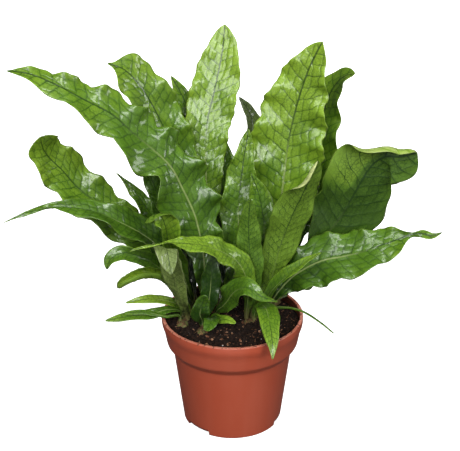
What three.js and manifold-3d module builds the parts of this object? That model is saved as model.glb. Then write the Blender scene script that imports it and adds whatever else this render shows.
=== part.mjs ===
// A crocodile fern growing in a 12 cm nursery pot: moulded pot, potting soil, three creeping
// rhizomes, and strap-shaped fronds that spring from them and stand in plain sockets.
// Millimetres, +Z up. The origin is the centre of the pot's underside, on the surface it stands on.
// -Y is the front of the plant.
import * as THREE from "three";
import { mergeVertices } from "three/addons/utils/BufferGeometryUtils.js";
import Module from "manifold-3d";

const wasm = await Module();
wasm.setup();

// Driving sizes
const SIDES = 32; // facets round the pot and the soil
const CLEARANCE = 0.3; // gap left between pieces that touch
const POT = {
  height: 98,
  rimRadius: 60, // outside of the rolled lip
  lipHeight: 9,
  lipStep: 2, // how far the lip stands out of the rim band
  lipSlope: 6, // the height over which it narrows to the band
  bandBottom: 74.5,
  bandRadius: 56.2,
  shoulderRadius: 50.8,
  shoulderBottom: 68.5,
  footRadius: 42.2,
  wall: 1.3,
  floor: 4.2, // height of the raised floor's underside
  padRadius: 13, // the flat pad in the middle of the underside
  footWidth: 2.6,
  notches: 3,
  notchAngle: 34, // degrees of the foot ring that each notch takes away
  firstNotch: -135, // compass of the first notch, from +X
  holeRadius: 4,
};
const SOIL = { rimLevel: 91.5, mound: 2.2, rings: [0, 18, 34, 47], relief: 0.7 };
const RHIZOME = { radius: 6, level: 89.5, sides: 8, capRings: 3, rowOffset: 3, firstPlace: 3, placeStep: 3.2 };
const FOOT = { level: 91.6, collar: 99, halfWidth: 1.7, halfThickness: 1.2, socket: 3 };
const BLADE = { halfThickness: 0.36, rib: 0.35, quilt: 0.4, slant: 0.45, tipHalfWidth: 0.7 };

// Each rhizome's line over the soil, from its front end to its back end
const RHIZOMES = {
  left: [[-42, -10], [-34, 26]],
  centre: [[-26, -24], [-17, -2], [-8, 40]],
  right: [[12, -8], [28, 10], [38, 30]],
};

// Every frond: the rhizome and the place on it that it springs from, the blade's greatest width and
// where that falls along it (0 foot, 1 tip), how slender it starts (base) and ends (tip), where and
// how far it is drawn in (waist: place, reach, depth), the number and height of its margin waves,
// the share of them on its left half (calm), how deep they cut the outline (lobe), how far its halves
// are folded (keel) and rolled (roll) in degrees, from where to where the roll grows (curl), the half
// that alone is rolled (curled: 1 right, -1 left), its midrib from above the collar to the tip, and the
// ways its upper side faces, at even steps from foot to tip.
const FRONDS = {
  // Left side, upper side to the front
  frond_left_long: {
    on: "centre", place: 6, width: 46, widest: 0.42, waves: 10.2, calm: 0.62, ruffle: 4.5, lobe: 0.19,
    phase: 1.6, base: 1.8, waist: [0.51, 0.04, 0.25], keel: 8,
    midrib: [[-24, -2, 153], [-26, -4, 169], [-31, -7, 193], [-40, -10, 216], [-49, -15, 237],
             [-63, -18, 253], [-78, -21, 268], [-92, -24, 283], [-112, -26, 295], [-134, -27, 308],
             [-152, -25, 315], [-171, -22, 317]],
    face: [[0, -1, 0.2], [0.3, -0.8, 0.5], [0.1, -0.7, 0.7]],
  },
  frond_left_upper: {
    on: "centre", place: 10, width: 41, widest: 0.74, waves: 7, ruffle: 4, lobe: 0.08, phase: 2, tip: 0.3,
    waist: [0.99, 0.05, 0.85], keel: 10,
    midrib: [[-28, 13, 151], [-38, 16, 205], [-54, 12, 257], [-70, 5, 293], [-84, -2, 312], [-96, -5, 318]],
    face: [[0.1, -1, 0.1], [0.2, -0.9, 0.3], [0.3, -0.7, 0.6]],
  },
  frond_left_narrow: {
    on: "centre", place: 12, width: 34, widest: 0.5, waves: 6, ruffle: 3, phase: 1, base: 1.4, tip: 0.8,
    keel: 12,
    midrib: [[-20, 27, 130], [-27, 37, 165], [-31, 42, 230], [-38, 44, 268], [-50, 42, 294]],
    face: [[0, -1, 0], [0.2, -1, 0.1], [0.3, -0.8, 0.5]],
  },
  frond_left_olive: {
    on: "left", place: 8, width: 38, widest: 0.75, waves: 6, ruffle: 3.5, lobe: 0.12, phase: 0, base: 1.0,
    tip: 0.25, keel: 8,
    midrib: [[-50, 15, 130], [-76, 19, 157], [-92, 20, 172], [-113, 19, 192], [-128, 18, 206],
             [-139, 15, 222], [-147, 11, 233], [-151, 4, 244], [-152, -4, 258]],
    face: [[0.3, -0.9, 0.4], [0.3, -0.8, 0.5], [0.4, -0.8, 0.4]],
  },
  frond_left_arching: {
    on: "left", place: 6, width: 30, widest: 0.42, waves: 5, ruffle: 2.5, phase: 1, base: 1.0, tip: 2,
    keel: 26,
    midrib: [[-50, 11, 137], [-67, 5, 163], [-89, -7, 184], [-114, -15, 199], [-141, -21, 205],
             [-162, -26, 202], [-181, -30, 195]],
    face: [[0.3, -0.7, 0.6], [0.2, -0.6, 0.8], [0, -0.7, 0.7]],
  },
  frond_left_pointed: {
    on: "left", place: 10, width: 24, widest: 0.5, waves: 4, ruffle: 2.5, phase: 2, base: 1.0, tip: 1.5,
    keel: 14,
    midrib: [[-52, 37, 145], [-70, 40, 173], [-84, 41, 194], [-98, 41, 210]],
    face: [[0.2, -1, 0.2], [0.3, -0.9, 0.3], [0.4, -0.8, 0.4]],
  },
  frond_left_dark: {
    on: "left", place: 9, width: 22, widest: 0.5, waves: 5, ruffle: 2, phase: 0, base: 1.6, tip: 1.2,
    keel: 10,
    midrib: [[-36, 24, 122], [-43, 24, 155], [-58, 25, 185], [-67, 24, 211], [-73, 19, 231], [-84, 15, 245]],
    face: [[0.2, -1, 0.1], [0.2, -0.9, 0.3], [0.3, -0.8, 0.5]],
  },
  frond_left_cupped: {
    on: "left", place: 7, width: 28, widest: 0.66, waves: 3, ruffle: 1.5, phase: 1, base: 3, tip: 0.5,
    keel: 14, roll: 70,
    midrib: [[-41, 4, 132], [-51, -14, 166], [-54, -24, 190], [-57, -30, 201], [-63, -33, 203],
             [-69, -34, 197]],
    face: [[0, -1, 0.2], [0, -0.9, 0.3], [0.7, -0.2, -0.5]],
  },
  frond_left_curled: {
    on: "left", place: 5, width: 16, widest: 0.75, waves: 3, ruffle: 1, phase: 0, base: 1.0, tip: 0.4,
    keel: 12, roll: 30,
    midrib: [[-50, -1, 127], [-63, -12, 149], [-77, -22, 163], [-88, -28, 168], [-97, -31, 164],
             [-101, -32, 155]],
    face: [[0, -0.8, 0.5], [0.2, -0.6, 0.7], [-0.7, -0.5, -0.2]],
  },
  frond_left_rolled: {
    on: "left", place: 3, width: 24, widest: 0.7, waves: 2, ruffle: 0.5, phase: 0, tip: 0.3, keel: 0,
    roll: 150,
    midrib: [[-47, -8, 121], [-60, -21, 141], [-73, -33, 149], [-84, -40, 148], [-92, -43, 144]],
    face: [[0.3, -0.8, 0.4], [0.2, -0.4, 0.9], [0, -0.5, 0.8]],
  },
  frond_left_grey: {
    on: "left", place: 1, width: 23, widest: 0.8, waves: 3, ruffle: 1.5, phase: 0, tip: 0.9, keel: 8,
    midrib: [[-43, -25, 126], [-49, -37, 158], [-53, -44, 176], [-52, -50, 182], [-50, -54, 175],
             [-48, -56, 162]],
    face: [[0.1, 1, 0.2], [0.2, 0.9, 0.4], [0.2, -0.6, 0.5]],
  },
  frond_low_green: {
    on: "left", place: 2, width: 11, widest: 0.6, waves: 2, ruffle: 1, phase: 0, keel: 14,
    midrib: [[-54, -7, 105], [-69, -12, 103], [-86, -15, 103], [-106, -19, 101]],
    face: [[0, -0.5, 0.9], [0, -0.6, 0.8], [0, -0.7, 0.7]],
  },
  frond_low_yellow: {
    on: "left", place: 4, width: 10, widest: 0.5, waves: 2, ruffle: 0.8, phase: 2, keel: 14,
    midrib: [[-52, -1, 109], [-70, -3, 113], [-90, -4, 110]],
    face: [[0, -0.5, 0.9], [0, -0.6, 0.8], [0, -0.7, 0.7]],
  },
  frond_low_thin: {
    on: "left", place: 0, width: 6, widest: 0.8, waves: 1, ruffle: 0.3, phase: 0, base: 3, keel: 8,
    midrib: [[-56, -15, 103], [-73, -15, 107], [-91, -15, 106]],
    face: [[0, -0.5, 0.9], [0, -0.6, 0.8], [0, -0.7, 0.7]],
  },
  // Middle
  frond_centre_tall: {
    on: "centre", place: 11, width: 41, widest: 0.76, waves: 8, ruffle: 2, lobe: 0.03, phase: 0, base: 2.3,
    tip: 0.6, keel: 8,
    midrib: [[-14, 20, 130], [-19, 26, 162], [-22, 30, 209], [-21, 35, 253], [-14, 40, 285], [-8, 43, 315],
             [-6, 44, 336]],
    face: [[0, -1, 0.1], [0.1, -1, 0.2], [-0.1, -0.9, 0.4]],
  },
  frond_centre_shaded: {
    on: "centre", place: 15, width: 30, widest: 0.6, waves: 5, ruffle: 2.5, phase: 1, base: 1.0, keel: 8,
    midrib: [[-3, 40, 153], [-5, 49, 191], [-12, 55, 225], [-17, 60, 255]],
    face: [[0.1, -1, 0.1], [0.1, -1, 0.2], [0.2, -0.9, 0.4]],
  },
  frond_centre_glossy: {
    on: "centre", place: 9, width: 32, widest: 0.55, waves: 5, ruffle: 2.5, phase: 0, keel: 10,
    midrib: [[-2, 10, 118], [5, 15, 147], [5, 18, 185], [8, 18, 221], [13, 16, 258]],
    face: [[0.4, -1, 0.1], [0, -1, 0.2], [0, -0.9, 0.5]],
  },
  frond_centre_inner: {
    on: "right", place: 6, width: 27, widest: 0.6, waves: 4, ruffle: 2, phase: 2, keel: 14,
    midrib: [[26, 10, 140], [26, 9, 175], [22, 7, 202], [15, 4, 224]],
    face: [[0, -1, 0.2], [0, -1, 0.3], [0.2, -0.8, 0.6]],
  },
  frond_centre_strap: {
    on: "centre", place: 4, width: 18, widest: 0.5, waves: 3, ruffle: 1.2, phase: 0, keel: 12,
    midrib: [[-19, -10, 120], [-17, -13, 145], [-15, -15, 168]],
    face: [[0.1, -1, 0.1], [0.1, -1, 0.2], [0.1, -0.9, 0.4]],
  },
  frond_front_matte: {
    on: "right", place: 2, width: 23, widest: 0.52, waves: 4, ruffle: 1.5, phase: 0, tip: 0.7, keel: 10,
    midrib: [[16, -6, 132], [14, -10, 160], [13, -15, 188], [14, -21, 212]],
    face: [[0, 1, 0.2], [0.1, 1, 0.1], [0, 0.9, 0.5]],
  },
  frond_front_folded: {
    on: "right", place: 4, width: 33, widest: 0.6, waves: 4, ruffle: 2, phase: 1, tip: 0.5, keel: 14,
    roll: -140, curl: [0.78, 0.92], curled: 1,
    midrib: [[31, 4, 123], [39, -1, 160], [47, -9, 189], [57, -20, 220], [66, -29, 247]],
    face: [[0.1, 1, 0.2], [0.1, 0.9, 0.3], [-0.3, 0.7, 0.6]],
  },
  frond_front_arching: {
    on: "right", place: 0, width: 23, widest: 0.5, waves: 5, ruffle: 2, phase: 1, tip: 2.2,
    waist: [0.86, 0.14, 0.75], keel: 10,
    midrib: [[13, -10, 128], [5, -19, 154], [-14, -34, 174], [-33, -46, 184], [-52, -57, 190],
             [-67, -63, 190], [-79, -66, 187]],
    face: [[-0.4, -1, 0.3], [0.2, -0.6, 0.8], [0, -0.5, 0.9]],
  },
  frond_front_arched: {
    on: "centre", place: 7, width: 23, widest: 0.5, waves: 3, ruffle: 1.5, phase: 0, base: 2.2, tip: 1.6,
    keel: 10,
    midrib: [[-6, -12, 113], [3, -25, 132], [12, -33, 139], [23, -36, 133], [37, -33, 126]],
    face: [[-0.6, -0.7, 0.3], [0, -0.7, 0.7], [0.3, -0.7, 0.7]],
  },
  frond_front_hanging: {
    on: "right", place: 1, width: 19, widest: 0.6, waves: 2, ruffle: 1, phase: 0, tip: 1.3, keel: 12,
    midrib: [[23, -12, 111], [27, -26, 117], [30, -46, 114], [32, -62, 103], [32, -67, 92]],
    face: [[0, -0.7, 0.7], [0, -0.3, 1], [0, -1, 0]],
  },
  frond_soil_left: {
    on: "centre", place: 2, width: 17, widest: 0.55, waves: 2, ruffle: 1, phase: 0, tip: 0.7, keel: 12,
    midrib: [[-27, -19, 107], [-25, -22, 119], [-22, -26, 129]],
    face: [[0.2, -1, 0.2], [0.2, -1, 0.3], [0.2, -0.8, 0.6]],
  },
  frond_soil_middle: {
    on: "centre", place: 3, width: 14, widest: 0.6, waves: 1, ruffle: 0.5, phase: 0, tip: 0.5, keel: 14,
    midrib: [[-17, -19, 103], [-18, -27, 103], [-22, -33, 99]],
    face: [[0, -0.5, 0.9], [0, -0.3, 1], [-0.2, -0.6, 0.8]],
  },
  frond_soil_right: {
    on: "centre", place: 5, width: 10, widest: 0.6, waves: 1, ruffle: 0.5, phase: 0, keel: 14,
    midrib: [[-11, -16, 101], [-4, -23, 104], [3, -27, 103]],
    face: [[-0.4, -0.5, 0.8], [0, -0.6, 0.8], [0, -0.7, 0.7]],
  },
  // Right side
  frond_right_wide: {
    on: "right", place: 8, width: 62, widest: 0.58, waves: 8, ruffle: 3, phase: 0, base: 1.2, tip: 0.7,
    keel: 8,
    midrib: [[37, 30, 149], [42, 34, 197], [46, 33, 238], [52, 28, 273], [61, 21, 307], [70, 14, 330]],
    face: [[0, -1, 0.1], [-0.15, -1, 0.2], [-0.3, -0.9, 0.3]],
  },
  frond_right_rear: {
    on: "right", place: 11, width: 40, widest: 0.55, waves: 7, ruffle: 3, phase: 1, tip: 0.5, keel: 10,
    midrib: [[51, 50, 150], [68, 62, 203], [76, 66, 247], [83, 66, 273], [92, 61, 287], [101, 54, 292]],
    face: [[-0.2, -1, 0.1], [-0.3, -1, 0.2], [-0.4, -0.5, 0.8]],
  },
  frond_right_hooked: {
    on: "right", place: 9, width: 58, widest: 0.6, waves: 3, calm: 0.88, ruffle: 2.5, lobe: 0.12, phase: 3.05,
    base: 6, tip: 0.25, keel: 4, roll: -130, curl: [0.79, 0.89], curled: 1,
    midrib: [[51, 25, 120], [64, 24, 139], [75, 22, 157], [86, 19, 172], [94, 15, 188], [101, 9, 207],
             [109, 4, 226], [115, 1, 235], [122, -3, 241], [133, -6, 242], [146, -8, 246]],
    face: [[0, 0.9, 0.2], [0.1, 0.9, 0.2], [0.15, 0.85, 0.1], [0.1, 0.9, 0], [0, 0.9, 0]],
  },
  frond_right_low: {
    on: "right", place: 7, width: 43, widest: 0.42, waves: 6, ruffle: 3, lobe: 0.08, phase: 2, base: 2.2,
    tip: 1.2, waist: [0.86, 0.08, 0.85], keel: 8,
    midrib: [[45, 8, 122], [58, 4, 136], [75, 1, 147], [93, -1, 152], [107, -3, 157], [118, -4, 162],
             [128, -5, 166], [137, -5, 170], [146, -6, 174], [154, -6, 175], [163, -7, 173], [171, -8, 177]],
    face: [[-0.3, -0.7, 0.6], [0, -0.75, 0.65], [0, -0.8, 0.6]],
  },
  frond_right_bright: {
    on: "right", place: 3, width: 16, widest: 0.55, waves: 2, ruffle: 1, phase: 0, tip: 1.3, keel: 40,
    midrib: [[33, -6, 122], [47, -14, 142], [60, -19, 156], [72, -23, 166]],
    face: [[-0.4, -0.8, 0.5], [-0.2, -0.6, 0.8], [0, -0.6, 0.8]],
  },
  frond_right_strap: {
    on: "right", place: 5, width: 3.6, widest: 0.4, waves: 1, ruffle: 0, phase: 0, keel: 0,
    midrib: [[45, -3, 105], [59, -14, 107], [73, -24, 102], [84, -30, 95]],
    face: [[0, -0.5, 0.9], [0.2, -0.5, 0.9], [0.5, -0.4, 0.8]],
  },
  // Behind the middle, mostly or wholly hidden from the front
  frond_rear_grey: {
    on: "right", place: 10, width: 30, widest: 0.6, waves: 5, ruffle: 2.5, phase: 0, keel: 10,
    midrib: [[25, 42, 130], [23, 60, 180], [21, 70, 222], [15, 72, 251], [5, 68, 268]],
    face: [[0, -1, 0], [0, -1, 0.2], [0.5, -0.6, 0.7]],
  },
  frond_rear_right_tall: {
    on: "right", place: 12, width: 36, widest: 0.55, waves: 6, ruffle: 3, phase: 2, keel: 10,
    midrib: [[38, 54, 130], [46, 86, 170], [58, 116, 188], [70, 144, 182]],
    face: [[-0.2, -0.9, 0.4], [-0.2, -0.7, 0.7], [0, 0, 1]],
  },
  frond_rear_right_low: {
    on: "right", place: 13, width: 32, widest: 0.5, waves: 5, ruffle: 3, phase: 1, keel: 12,
    midrib: [[58, 36, 107], [84, 50, 119], [108, 64, 115], [125, 80, 99]],
    face: [[-0.4, -0.4, 0.8], [-0.1, -0.2, 1], [0.3, 0.1, 1]],
  },
  frond_rear_left_wide: {
    on: "centre", place: 14, width: 36, widest: 0.5, waves: 6, ruffle: 3, phase: 0, base: 2.2, keel: 10,
    midrib: [[-38, 46, 128], [-64, 66, 147], [-92, 82, 145], [-114, 96, 125]],
    face: [[0.3, -0.8, 0.4], [0.2, -0.4, 0.9], [-0.2, 0, 1]],
  },
  frond_rear_middle: {
    on: "centre", place: 17, width: 34, widest: 0.55, waves: 7, ruffle: 3, phase: 1, base: 2, keel: 8,
    midrib: [[10, 60, 144], [15, 92, 180], [20, 120, 190], [20, 146, 178]],
    face: [[0, -0.9, 0.4], [0, -0.8, 0.6], [0, 0, 1]],
  },
  frond_rear_left_high: {
    on: "centre", place: 16, width: 30, widest: 0.55, waves: 6, ruffle: 3, phase: 2, base: 2, keel: 8,
    midrib: [[-18, 64, 150], [-29, 94, 192], [-44, 120, 210], [-58, 144, 205]],
    face: [[0.1, -0.9, 0.4], [0.2, -0.7, 0.7], [0, 0, 1]],
  },
  frond_rear_low: {
    on: "centre", place: 18, width: 28, widest: 0.5, waves: 4, ruffle: 2.5, phase: 0, keel: 14,
    midrib: [[-18, 66, 118], [-26, 98, 128], [-34, 130, 118]],
    face: [[0, -0.5, 0.9], [0, 0, 1], [0, 0.3, 1]],
  },
  frond_rear_small: {
    on: "centre", place: 19, width: 22, widest: 0.5, waves: 3, ruffle: 2, phase: 0, keel: 14,
    midrib: [[8, 52, 112], [20, 76, 119], [32, 98, 110]],
    face: [[0, -0.6, 0.8], [0, -0.2, 1], [0.2, 0.3, 1]],
  },
};

// Fronds stand along a rhizome in two rows, turn about.
function footOf({ on, place }) {
  const line = RHIZOMES[on].map(([x, y]) => new THREE.Vector2(x, y));
  let rest = RHIZOME.firstPlace + RHIZOME.placeStep * place;
  let k = 0;
  while (k < line.length - 2 && rest > line[k].distanceTo(line[k + 1])) {
    rest -= line[k].distanceTo(line[k + 1]);
    k += 1;
  }
  const along = line[k + 1].clone().sub(line[k]).normalize();
  const side = place % 2 ? 1 : -1;
  return line[k]
    .clone()
    .addScaledVector(along, rest)
    .add(new THREE.Vector2(along.y, -along.x).multiplyScalar(side * RHIZOME.rowOffset));
}

const smoothstep = (low, high, value) => {
  const x = Math.min(1, Math.max(0, (value - low) / (high - low)));
  return x * x * (3 - 2 * x);
};

// The midrib as a curve: straight up to the collar, then through the frond's own points
function midribOf(frond) {
  const foot = footOf(frond);
  const first = new THREE.Vector3(...frond.midrib[0]);
  const collar = new THREE.Vector3(foot.x, foot.y, FOOT.collar);
  const lean = first.clone().sub(collar).setZ(0).clampLength(0, 0.5);
  const points = [new THREE.Vector3(foot.x, foot.y, FOOT.level), collar.add(lean)];
  points.push(...frond.midrib.map((p) => new THREE.Vector3(...p)));
  return new THREE.CatmullRomCurve3(points, false, "centripetal");
}

function halfWidthAt(frond, t) {
  const { width, widest, base = 1.5, tip = 0.85, waist = [0.5, 0.1, 0] } = frond;
  const rise = Math.sin((Math.PI / 2) * Math.min(1, t / widest)) ** base;
  const fall = Math.cos((Math.PI / 2) * Math.max(0, (t - widest) / (1 - widest))) ** tip;
  const stalk = FOOT.halfWidth + (BLADE.tipHalfWidth - FOOT.halfWidth) * t;
  const [waistAt, waistReach, waistDepth] = waist;
  const drawnIn = 1 - waistDepth * (1 - smoothstep(0, waistReach, Math.abs(t - waistAt)));
  return stalk + (width / 2 - FOOT.halfWidth) * rise * fall * drawnIn;
}

// One point of the blade's middle surface and its normal; u runs from -1 to 1 across it
function bladePoint(frond, curve, t, u) {
  const { waves, ruffle, phase = 0, keel = 0, roll = 0, lobe = 0.06, calm = 1, curl = [0.1, 0.7], curled = 0 } = frond;
  const { face } = frond;
  const at = curve.getPointAt(t);
  const along = curve.getTangentAt(t);
  const part = t * (face.length - 1);
  const k = Math.min(face.length - 2, Math.floor(part));
  const facing = new THREE.Vector3(...face[k]).lerp(new THREE.Vector3(...face[k + 1]), part - k);
  facing.addScaledVector(along, -facing.dot(along)).normalize();
  const across = along.clone().cross(facing);
  const side = Math.sign(u);
  const open = smoothstep(0.02, 0.16, t); // the stalk is neither folded, rolled nor waved
  const wave = 2 * Math.PI * waves * (side > 0 ? 1 : calm) * t + phase + (side > 0 ? 1.3 : 0);
  const crest = 2 * Math.abs(Math.cos(wave / 2)) - 1;
  const half = halfWidthAt(frond, t) * (1 + lobe * open * Math.abs(u) * crest);
  const fold = THREE.MathUtils.degToRad(keel) * open;
  const rolled = curled && side !== curled ? 0 : smoothstep(...curl, t);
  const bend = THREE.MathUtils.degToRad(roll) * rolled + 1e-6;
  const angle = fold + bend * Math.abs(u);
  const out = (half * (Math.sin(angle) - Math.sin(fold))) / bend;
  const up = (half * (Math.cos(fold) - Math.cos(angle))) / bend;
  const lift = ruffle * open * Math.abs(u) ** 1.6 * Math.sin(wave) * Math.min(1, 6 * (1 - t));
  const normal = facing.clone().multiplyScalar(Math.cos(angle)).addScaledVector(across, -side * Math.sin(angle));
  at.addScaledVector(across, side * out).addScaledVector(facing, up).addScaledVector(normal, lift);
  return { at, normal };
}

// A closed skin over two equal grids of points, one above the other, with the same diagonals in both
function skin(upper, lower) {
  const rows = upper.length;
  const columns = upper[0].length;
  const position = [...upper.flat(), ...lower.flat()].flatMap((p) => p.toArray());
  const top = (i, j) => i * columns + j;
  const under = (i, j) => rows * columns + i * columns + j;
  const index = [];
  const quad = (a, b, c, d) => index.push(a, b, c, a, c, d);
  for (let i = 0; i < rows - 1; i += 1) {
    for (let j = 0; j < columns - 1; j += 1) {
      quad(top(i, j), top(i, j + 1), top(i + 1, j + 1), top(i + 1, j));
      index.push(under(i, j), under(i + 1, j + 1), under(i, j + 1));
      index.push(under(i, j), under(i + 1, j), under(i + 1, j + 1));
    }
    quad(top(i, 0), top(i + 1, 0), under(i + 1, 0), under(i, 0));
    const last = columns - 1;
    quad(top(i + 1, last), top(i, last), under(i, last), under(i + 1, last));
  }
  for (let j = 0; j < columns - 1; j += 1) {
    quad(top(0, j), under(0, j), under(0, j + 1), top(0, j + 1));
    const end = rows - 1;
    quad(top(end, j + 1), under(end, j + 1), under(end, j), top(end, j));
  }
  const geometry = new THREE.BufferGeometry();
  geometry.setAttribute("position", new THREE.Float32BufferAttribute(position, 3));
  geometry.setIndex(index);
  return geometry;
}

// A frond's solid: a thin blade with a thicker midrib and stalk, its rows swept forward like its
// side veins, and quilted between them by a small rise and fall
function frondGeometry(frond) {
  const curve = midribOf(frond);
  const length = curve.getLength();
  const columns = frond.width < 12 ? [-1, 0, 1] : [-1, -0.5, 0, 0.5, 1];
  const rows = Math.max(7, Math.round(Math.max(length / 11, 3.4 * frond.waves)));
  const collar = (FOOT.collar - FOOT.level) / length;
  const upper = [];
  const lower = [];
  for (let i = 0; i <= rows; i += 1) {
    const t = i && Math.min(1, collar + ((1 - collar) * (i - 1)) / (rows - 1));
    const half = halfWidthAt(frond, t);
    const sweep = (BLADE.slant * half * Math.sin(Math.PI * t)) / length;
    const stalk = 1 - smoothstep(0.03, 0.2, t);
    const points = columns.map((u) => {
      const { at, normal } = bladePoint(frond, curve, Math.min(1, t + sweep * Math.abs(u)), u);
      const rib = BLADE.rib * (1 - Math.abs(u)) * (1 - t);
      const extra = (FOOT.halfThickness - BLADE.halfThickness) * stalk * (1 - 0.55 * Math.abs(u));
      const thick = BLADE.halfThickness + rib + extra;
      const quilted = Math.abs(u) === 0.5 && half > 8 && t < 0.95;
      at.addScaledVector(normal, quilted ? BLADE.quilt * (i % 2 ? 1 : -1) : 0);
      return { high: at.clone().addScaledVector(normal, thick), low: at.clone().addScaledVector(normal, -thick) };
    });
    upper.push(points.map((p) => p.high));
    lower.push(points.map((p) => p.low));
  }
  return skin(upper, lower);
}

function toSolid(geometry) {
  const bare = new THREE.BufferGeometry();
  bare.setAttribute("position", geometry.getAttribute("position"));
  bare.setIndex(geometry.index);
  const merged = mergeVertices(bare, 1e-3);
  return new wasm.Manifold(
    new wasm.Mesh({
      numProp: 3,
      vertProperties: new Float32Array(merged.attributes.position.array),
      triVerts: new Uint32Array(merged.index.array),
    }),
  );
}

function toGeometry(solid) {
  const { vertProperties, triVerts, numProp } = solid.getMesh();
  const points = [];
  for (let i = 0; i < vertProperties.length; i += numProp) {
    points.push(vertProperties[i], vertProperties[i + 1], vertProperties[i + 2]);
  }
  const geometry = new THREE.BufferGeometry();
  geometry.setAttribute("position", new THREE.Float32BufferAttribute(points, 3));
  geometry.setIndex([...triVerts]);
  return geometry;
}

const turned = (profile) =>
  new THREE.LatheGeometry(profile.map(([r, z]) => new THREE.Vector2(r, z)), SIDES).rotateX(Math.PI / 2);

// The pot's inside wall from the floor to the rim
function innerWall() {
  const { height, wall, floor, bandBottom, bandRadius, shoulderRadius, shoulderBottom, footRadius } = POT;
  const lipInner = POT.rimRadius - POT.lipStep - wall;
  return [
    [footRadius + 0.4 - wall, floor + wall],
    [shoulderRadius - wall, shoulderBottom],
    [bandRadius - wall, bandBottom],
    [lipInner, height - POT.lipHeight],
    [lipInner + 0.6, height],
  ];
}

// The pot: a thin wall with a stepped rim band and lip, a raised floor with a flat pad in the
// middle, and a foot ring that three notches and their drain holes open
function potGeometry() {
  const { height, rimRadius, lipHeight, lipStep, bandBottom, bandRadius, floor, wall, padRadius } = POT;
  const { shoulderRadius, shoulderBottom, footRadius, footWidth } = POT;
  const lipMiddle = height - lipHeight;
  const slope = POT.lipSlope / 2;
  const outside = [
    [padRadius, 0],
    [padRadius + 3, floor],
    [footRadius - footWidth, floor],
    [footRadius - footWidth, 0],
    [footRadius - 0.8, 0],
    [footRadius, 1.2],
    [shoulderRadius - 0.2, shoulderBottom - 0.8],
    [bandRadius - 0.6, bandBottom - 0.6],
    [bandRadius, bandBottom],
    [rimRadius - lipStep, lipMiddle - slope],
    [rimRadius, lipMiddle + slope],
    [rimRadius, height - 0.6],
    [rimRadius - 0.6, height],
  ];
  const inside = innerWall().reverse();
  const bottom = [[footRadius - 10, floor + wall], [padRadius + 4, floor + wall], [padRadius + 1, wall], [0, wall]];
  let pot = toSolid(turned([[0, 0], ...outside, ...inside, ...bottom]));
  for (let n = 0; n < POT.notches; n += 1) {
    const angle = THREE.MathUtils.degToRad(POT.firstNotch + (360 / POT.notches) * n);
    const width = 2 * footRadius * Math.sin(THREE.MathUtils.degToRad(POT.notchAngle / 2));
    const notch = new THREE.BoxGeometry(16, width, 2 * (floor - 0.4));
    notch.translate(footRadius, 0, 0).rotateZ(angle);
    const hole = new THREE.CylinderGeometry(POT.holeRadius, POT.holeRadius, 8, 12).rotateX(Math.PI / 2);
    hole.translate(footRadius - footWidth - POT.holeRadius - 0.5, 0, floor).rotateZ(angle);
    pot = pot.subtract(toSolid(notch)).subtract(toSolid(hole));
  }
  return toGeometry(pot);
}

// The soil's top: a low mound, roughened by a sum of waves that repeats nowhere
function soilHeight(x, y) {
  const { rimLevel, mound, relief } = SOIL;
  const reach = Math.hypot(x, y) / POT.rimRadius;
  const rough = Math.sin(0.31 * x + 1.7) * Math.cos(0.27 * y) + 0.7 * Math.sin(0.53 * x - 0.41 * y + 0.6);
  return rimLevel + mound * (1 - reach * reach) + relief * rough * (1 - reach ** 4);
}

function soilGeometry(cutters) {
  const wall = innerWall().map(([r, z]) => [r - CLEARANCE, z]);
  wall[0][1] += CLEARANCE;
  const [, , , lip] = wall;
  const edge = [lip[0], SOIL.rimLevel];
  const top = [...SOIL.rings].reverse().map((r) => [r, SOIL.rimLevel]);
  const floor = [[POT.padRadius + 4, wall[0][1]], [POT.padRadius + 1 - CLEARANCE, POT.wall + CLEARANCE]];
  const profile = [[0, POT.wall + CLEARANCE], floor[1], floor[0], ...wall.slice(0, 4), edge, ...top];
  const geometry = turned(profile);
  const points = geometry.getAttribute("position");
  for (let i = 0; i < points.count; i += 1) {
    const [x, y, z] = [points.getX(i), points.getY(i), points.getZ(i)];
    if (z > SOIL.rimLevel - 0.01) points.setZ(i, soilHeight(x, y));
  }
  return toGeometry(cutters.reduce((soil, cutter) => soil.subtract(cutter), toSolid(geometry)));
}

// Round-ended stems along a line, one for each of its spans, joined
function stemSolid(line, radius, level) {
  const { sides, capRings } = RHIZOME;
  const spans = line.slice(1).map(([x, y], k) => {
    const [fromX, fromY] = line[k];
    const capsule = new THREE.CapsuleGeometry(radius, Math.hypot(x - fromX, y - fromY), capRings, sides);
    capsule.rotateZ(-Math.PI / 2).rotateZ(Math.atan2(y - fromY, x - fromX));
    return toSolid(capsule.translate((x + fromX) / 2, (y + fromY) / 2, level));
  });
  return spans.reduce((stem, span) => stem.add(span));
}

// The trench in the soil that a rhizome lies in, open above it
function trenchSolid(line) {
  const { radius, level } = RHIZOME;
  const wide = radius + CLEARANCE;
  return [0.5, 1].reduce(
    (trench, step) => trench.add(stemSolid(line, wide, level + radius * step)),
    stemSolid(line, wide, level),
  );
}

// The plain socket that a frond's foot stands in
function socketOf(frond) {
  const foot = footOf(frond);
  const depth = 2 * (RHIZOME.radius + 4);
  const socket = new THREE.CylinderGeometry(FOOT.socket, FOOT.socket, depth, 6).rotateX(Math.PI / 2);
  return toSolid(socket.translate(foot.x, foot.y, FOOT.level - CLEARANCE + depth / 2));
}

const plant = new THREE.Group();
const paint = (color, roughness) => new THREE.MeshStandardMaterial({ color, roughness, metalness: 0 });
const PAINTS = {
  pot: paint(0xb4523a, 0.45),
  soil: paint(0x2a1d17, 0.95),
  rhizome: paint(0x5b4a2c, 0.85),
  frond: paint(0x4f8a2a, 0.35),
};

function place(name, geometry, material) {
  const mesh = new THREE.Mesh(geometry, material);
  mesh.name = name;
  plant.add(mesh);
}

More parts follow.
